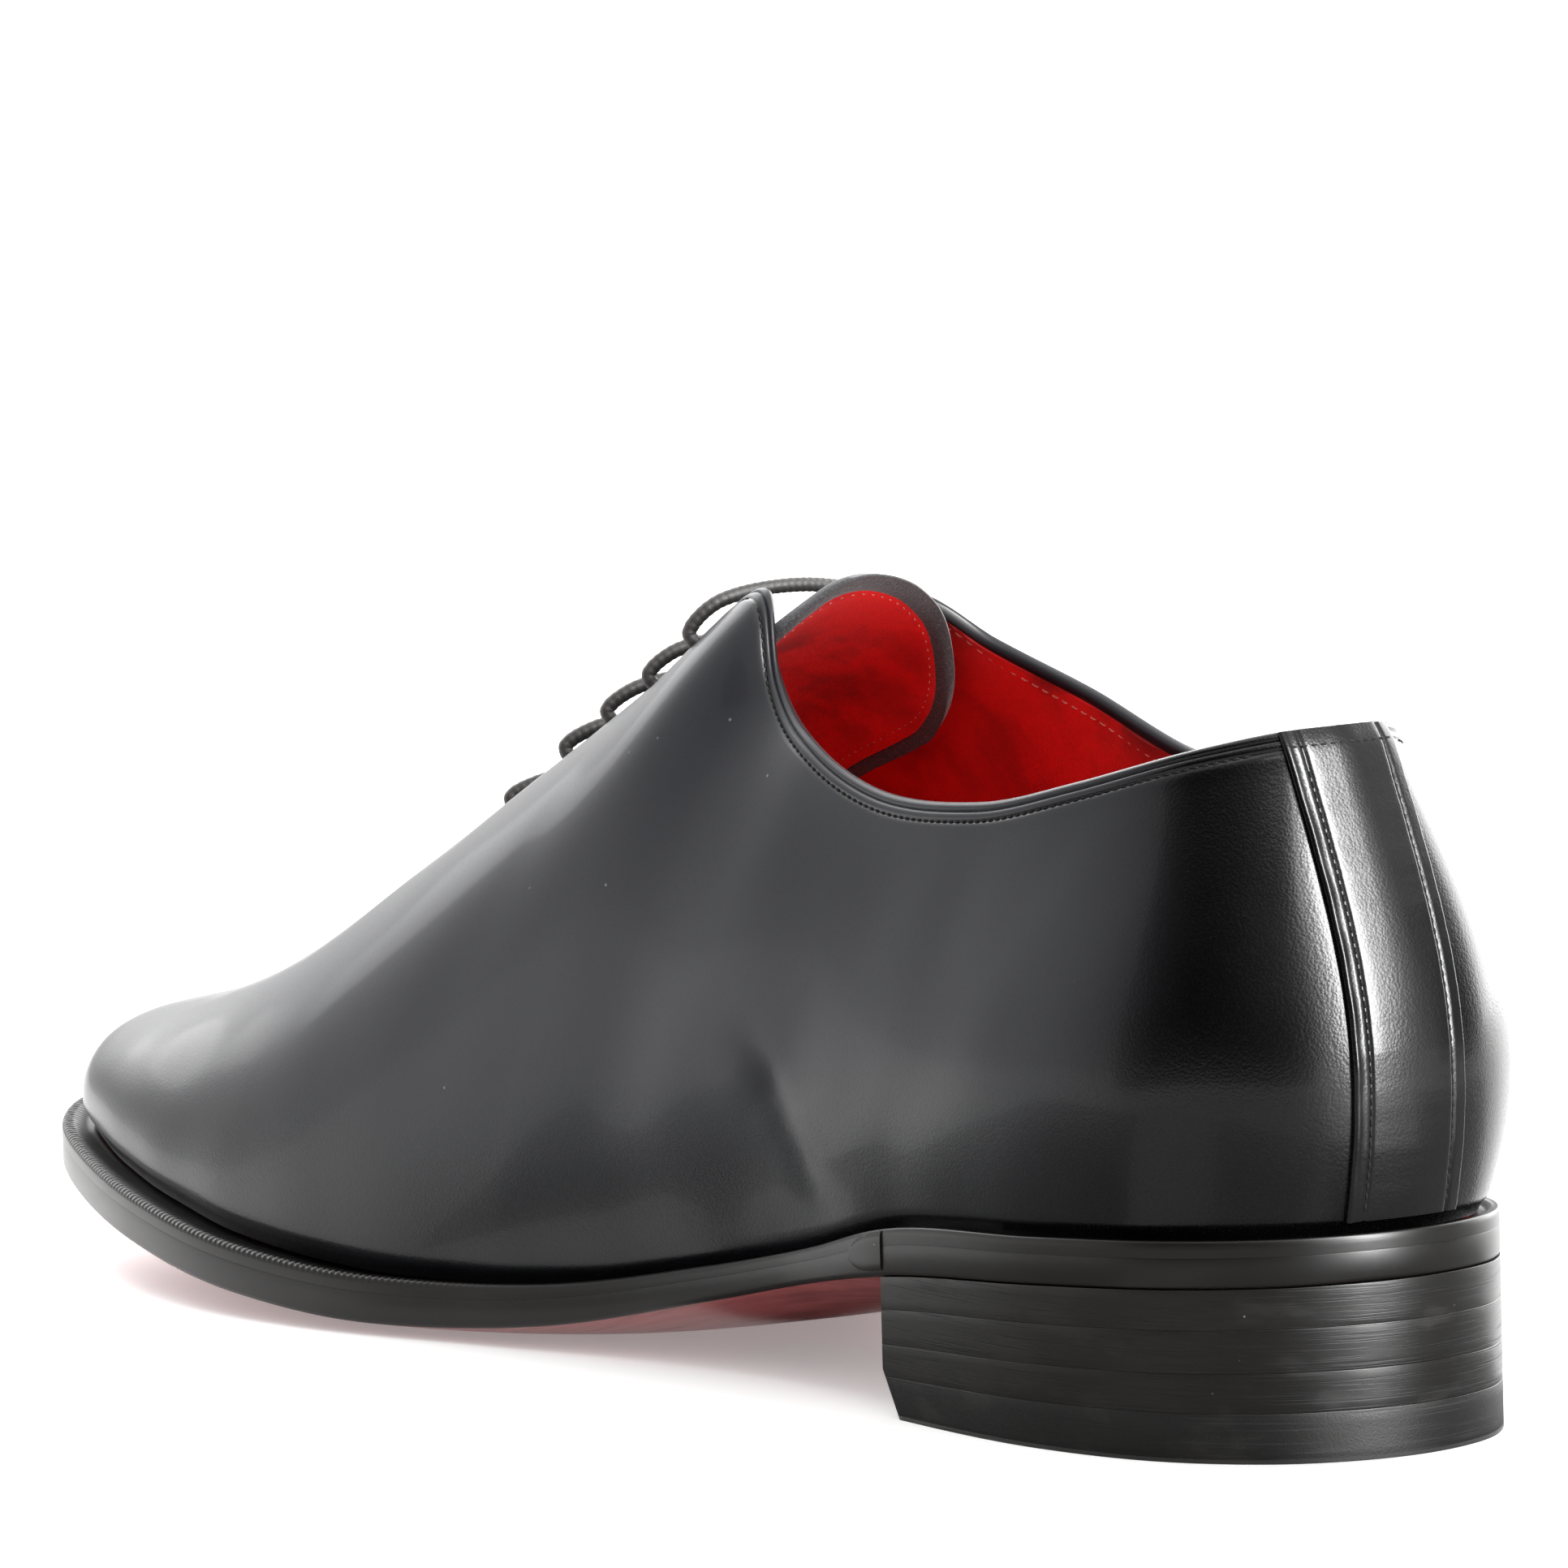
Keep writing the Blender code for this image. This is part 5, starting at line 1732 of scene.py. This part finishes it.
class OxfordStudio(bpy.types.Operator):
    """Pale floor, soft lights, dark curtains and the camera"""

    bl_idname = "oxford.studio"
    bl_label = "Studio"

    def execute(self, context):
        context.scene.view_settings.view_transform = "Standard"
        world = bpy.data.worlds.new("studio")
        context.scene.world = world
        world.use_nodes = True
        feed(world.node_tree, world.node_tree.nodes["Background"], Color=(1, 1, 1, 1), Strength=1.0)
        lay_floor()
        softbox("overhead", (0.15, -0.1, 1.6), (1.6, 1.6), 14.0)
        softbox("backdrop_left", round_camera(-158, 2.0, 1.32), (2.2, 1.75), 60.0)
        softbox("backdrop_right", round_camera(138, 2.0, 0.7), (1.6, 1.5), 60.0)
        # These two shape the shine of the leather and light nothing else
        strip = softbox("strip_light", round_camera(46, 1.2, 0.58), (0.34, 1.14), 88.0)
        strip.visible_diffuse = False
        front = softbox("front_light", round_camera(12, 1.25, 1.05), (0.8, 0.5), 12.0)
        front.visible_diffuse = False
        curtain("curtain_front", -62, 24, 0.62, 0.60)
        curtain("curtain_side", 74, 104, 0.70, 0.30)
        # Grey sheets seen only in reflections: painted shadow of the floor round the shoe
        floor_shadow_sheet("floor_shadow_side", (0.03, 0.02, 0), -75, 60, 0.30, 0.26)
        floor_shadow_sheet("floor_shadow_heel", (-0.115, 0, 0), -60, 26, 0.34, 0.72)
        floor_shadow_sheet("floor_shadow_back", (-0.115, 0, 0), 66, 115, 0.34, 0.35)
        place_camera()
        return {"FINISHED"}


OPERATORS = (
    OxfordUpper, OxfordLining, OxfordEdgeStitches, OxfordBackStrip, OxfordTongue, OxfordLace, OxfordWelt,
    OxfordSole, OxfordHeel, OxfordSock, OxfordStudio,
)


class OxfordPanel(bpy.types.Panel):
    """Buttons for each piece, and the shoe's sizes and colours"""

    bl_idname = "VIEW3D_PT_oxford"
    bl_label = "Whole cut oxford"
    bl_space_type = "VIEW_3D"
    bl_region_type = "UI"
    bl_category = "Oxford"

    def draw(self, context):
        for operator in OPERATORS:
            self.layout.operator(operator.bl_idname)
        for group_name in ("oxford_sizes", "oxford_colours"):
            held = getattr(context.scene, group_name)
            for name in held.__annotations__:
                self.layout.prop(held, name)


CLASSES = (OxfordSizes, OxfordColours, *OPERATORS, OxfordPanel)


def register():
    for cls in CLASSES:
        bpy.utils.register_class(cls)
    bpy.types.Scene.oxford_sizes = PointerProperty(type=OxfordSizes)
    bpy.types.Scene.oxford_colours = PointerProperty(type=OxfordColours)


def unregister():
    del bpy.types.Scene.oxford_colours
    del bpy.types.Scene.oxford_sizes
    for cls in reversed(CLASSES):
        bpy.utils.unregister_class(cls)


def main():
    register()
    bpy.ops.oxford.upper()
    bpy.ops.oxford.lining()
    bpy.ops.oxford.edge_stitches()
    bpy.ops.oxford.back_strip()
    bpy.ops.oxford.tongue()
    bpy.ops.oxford.lace()
    bpy.ops.oxford.welt()
    bpy.ops.oxford.sole()
    bpy.ops.oxford.heel()
    bpy.ops.oxford.sock()
    bpy.ops.oxford.studio()


if __name__ == "__main__":
    main()
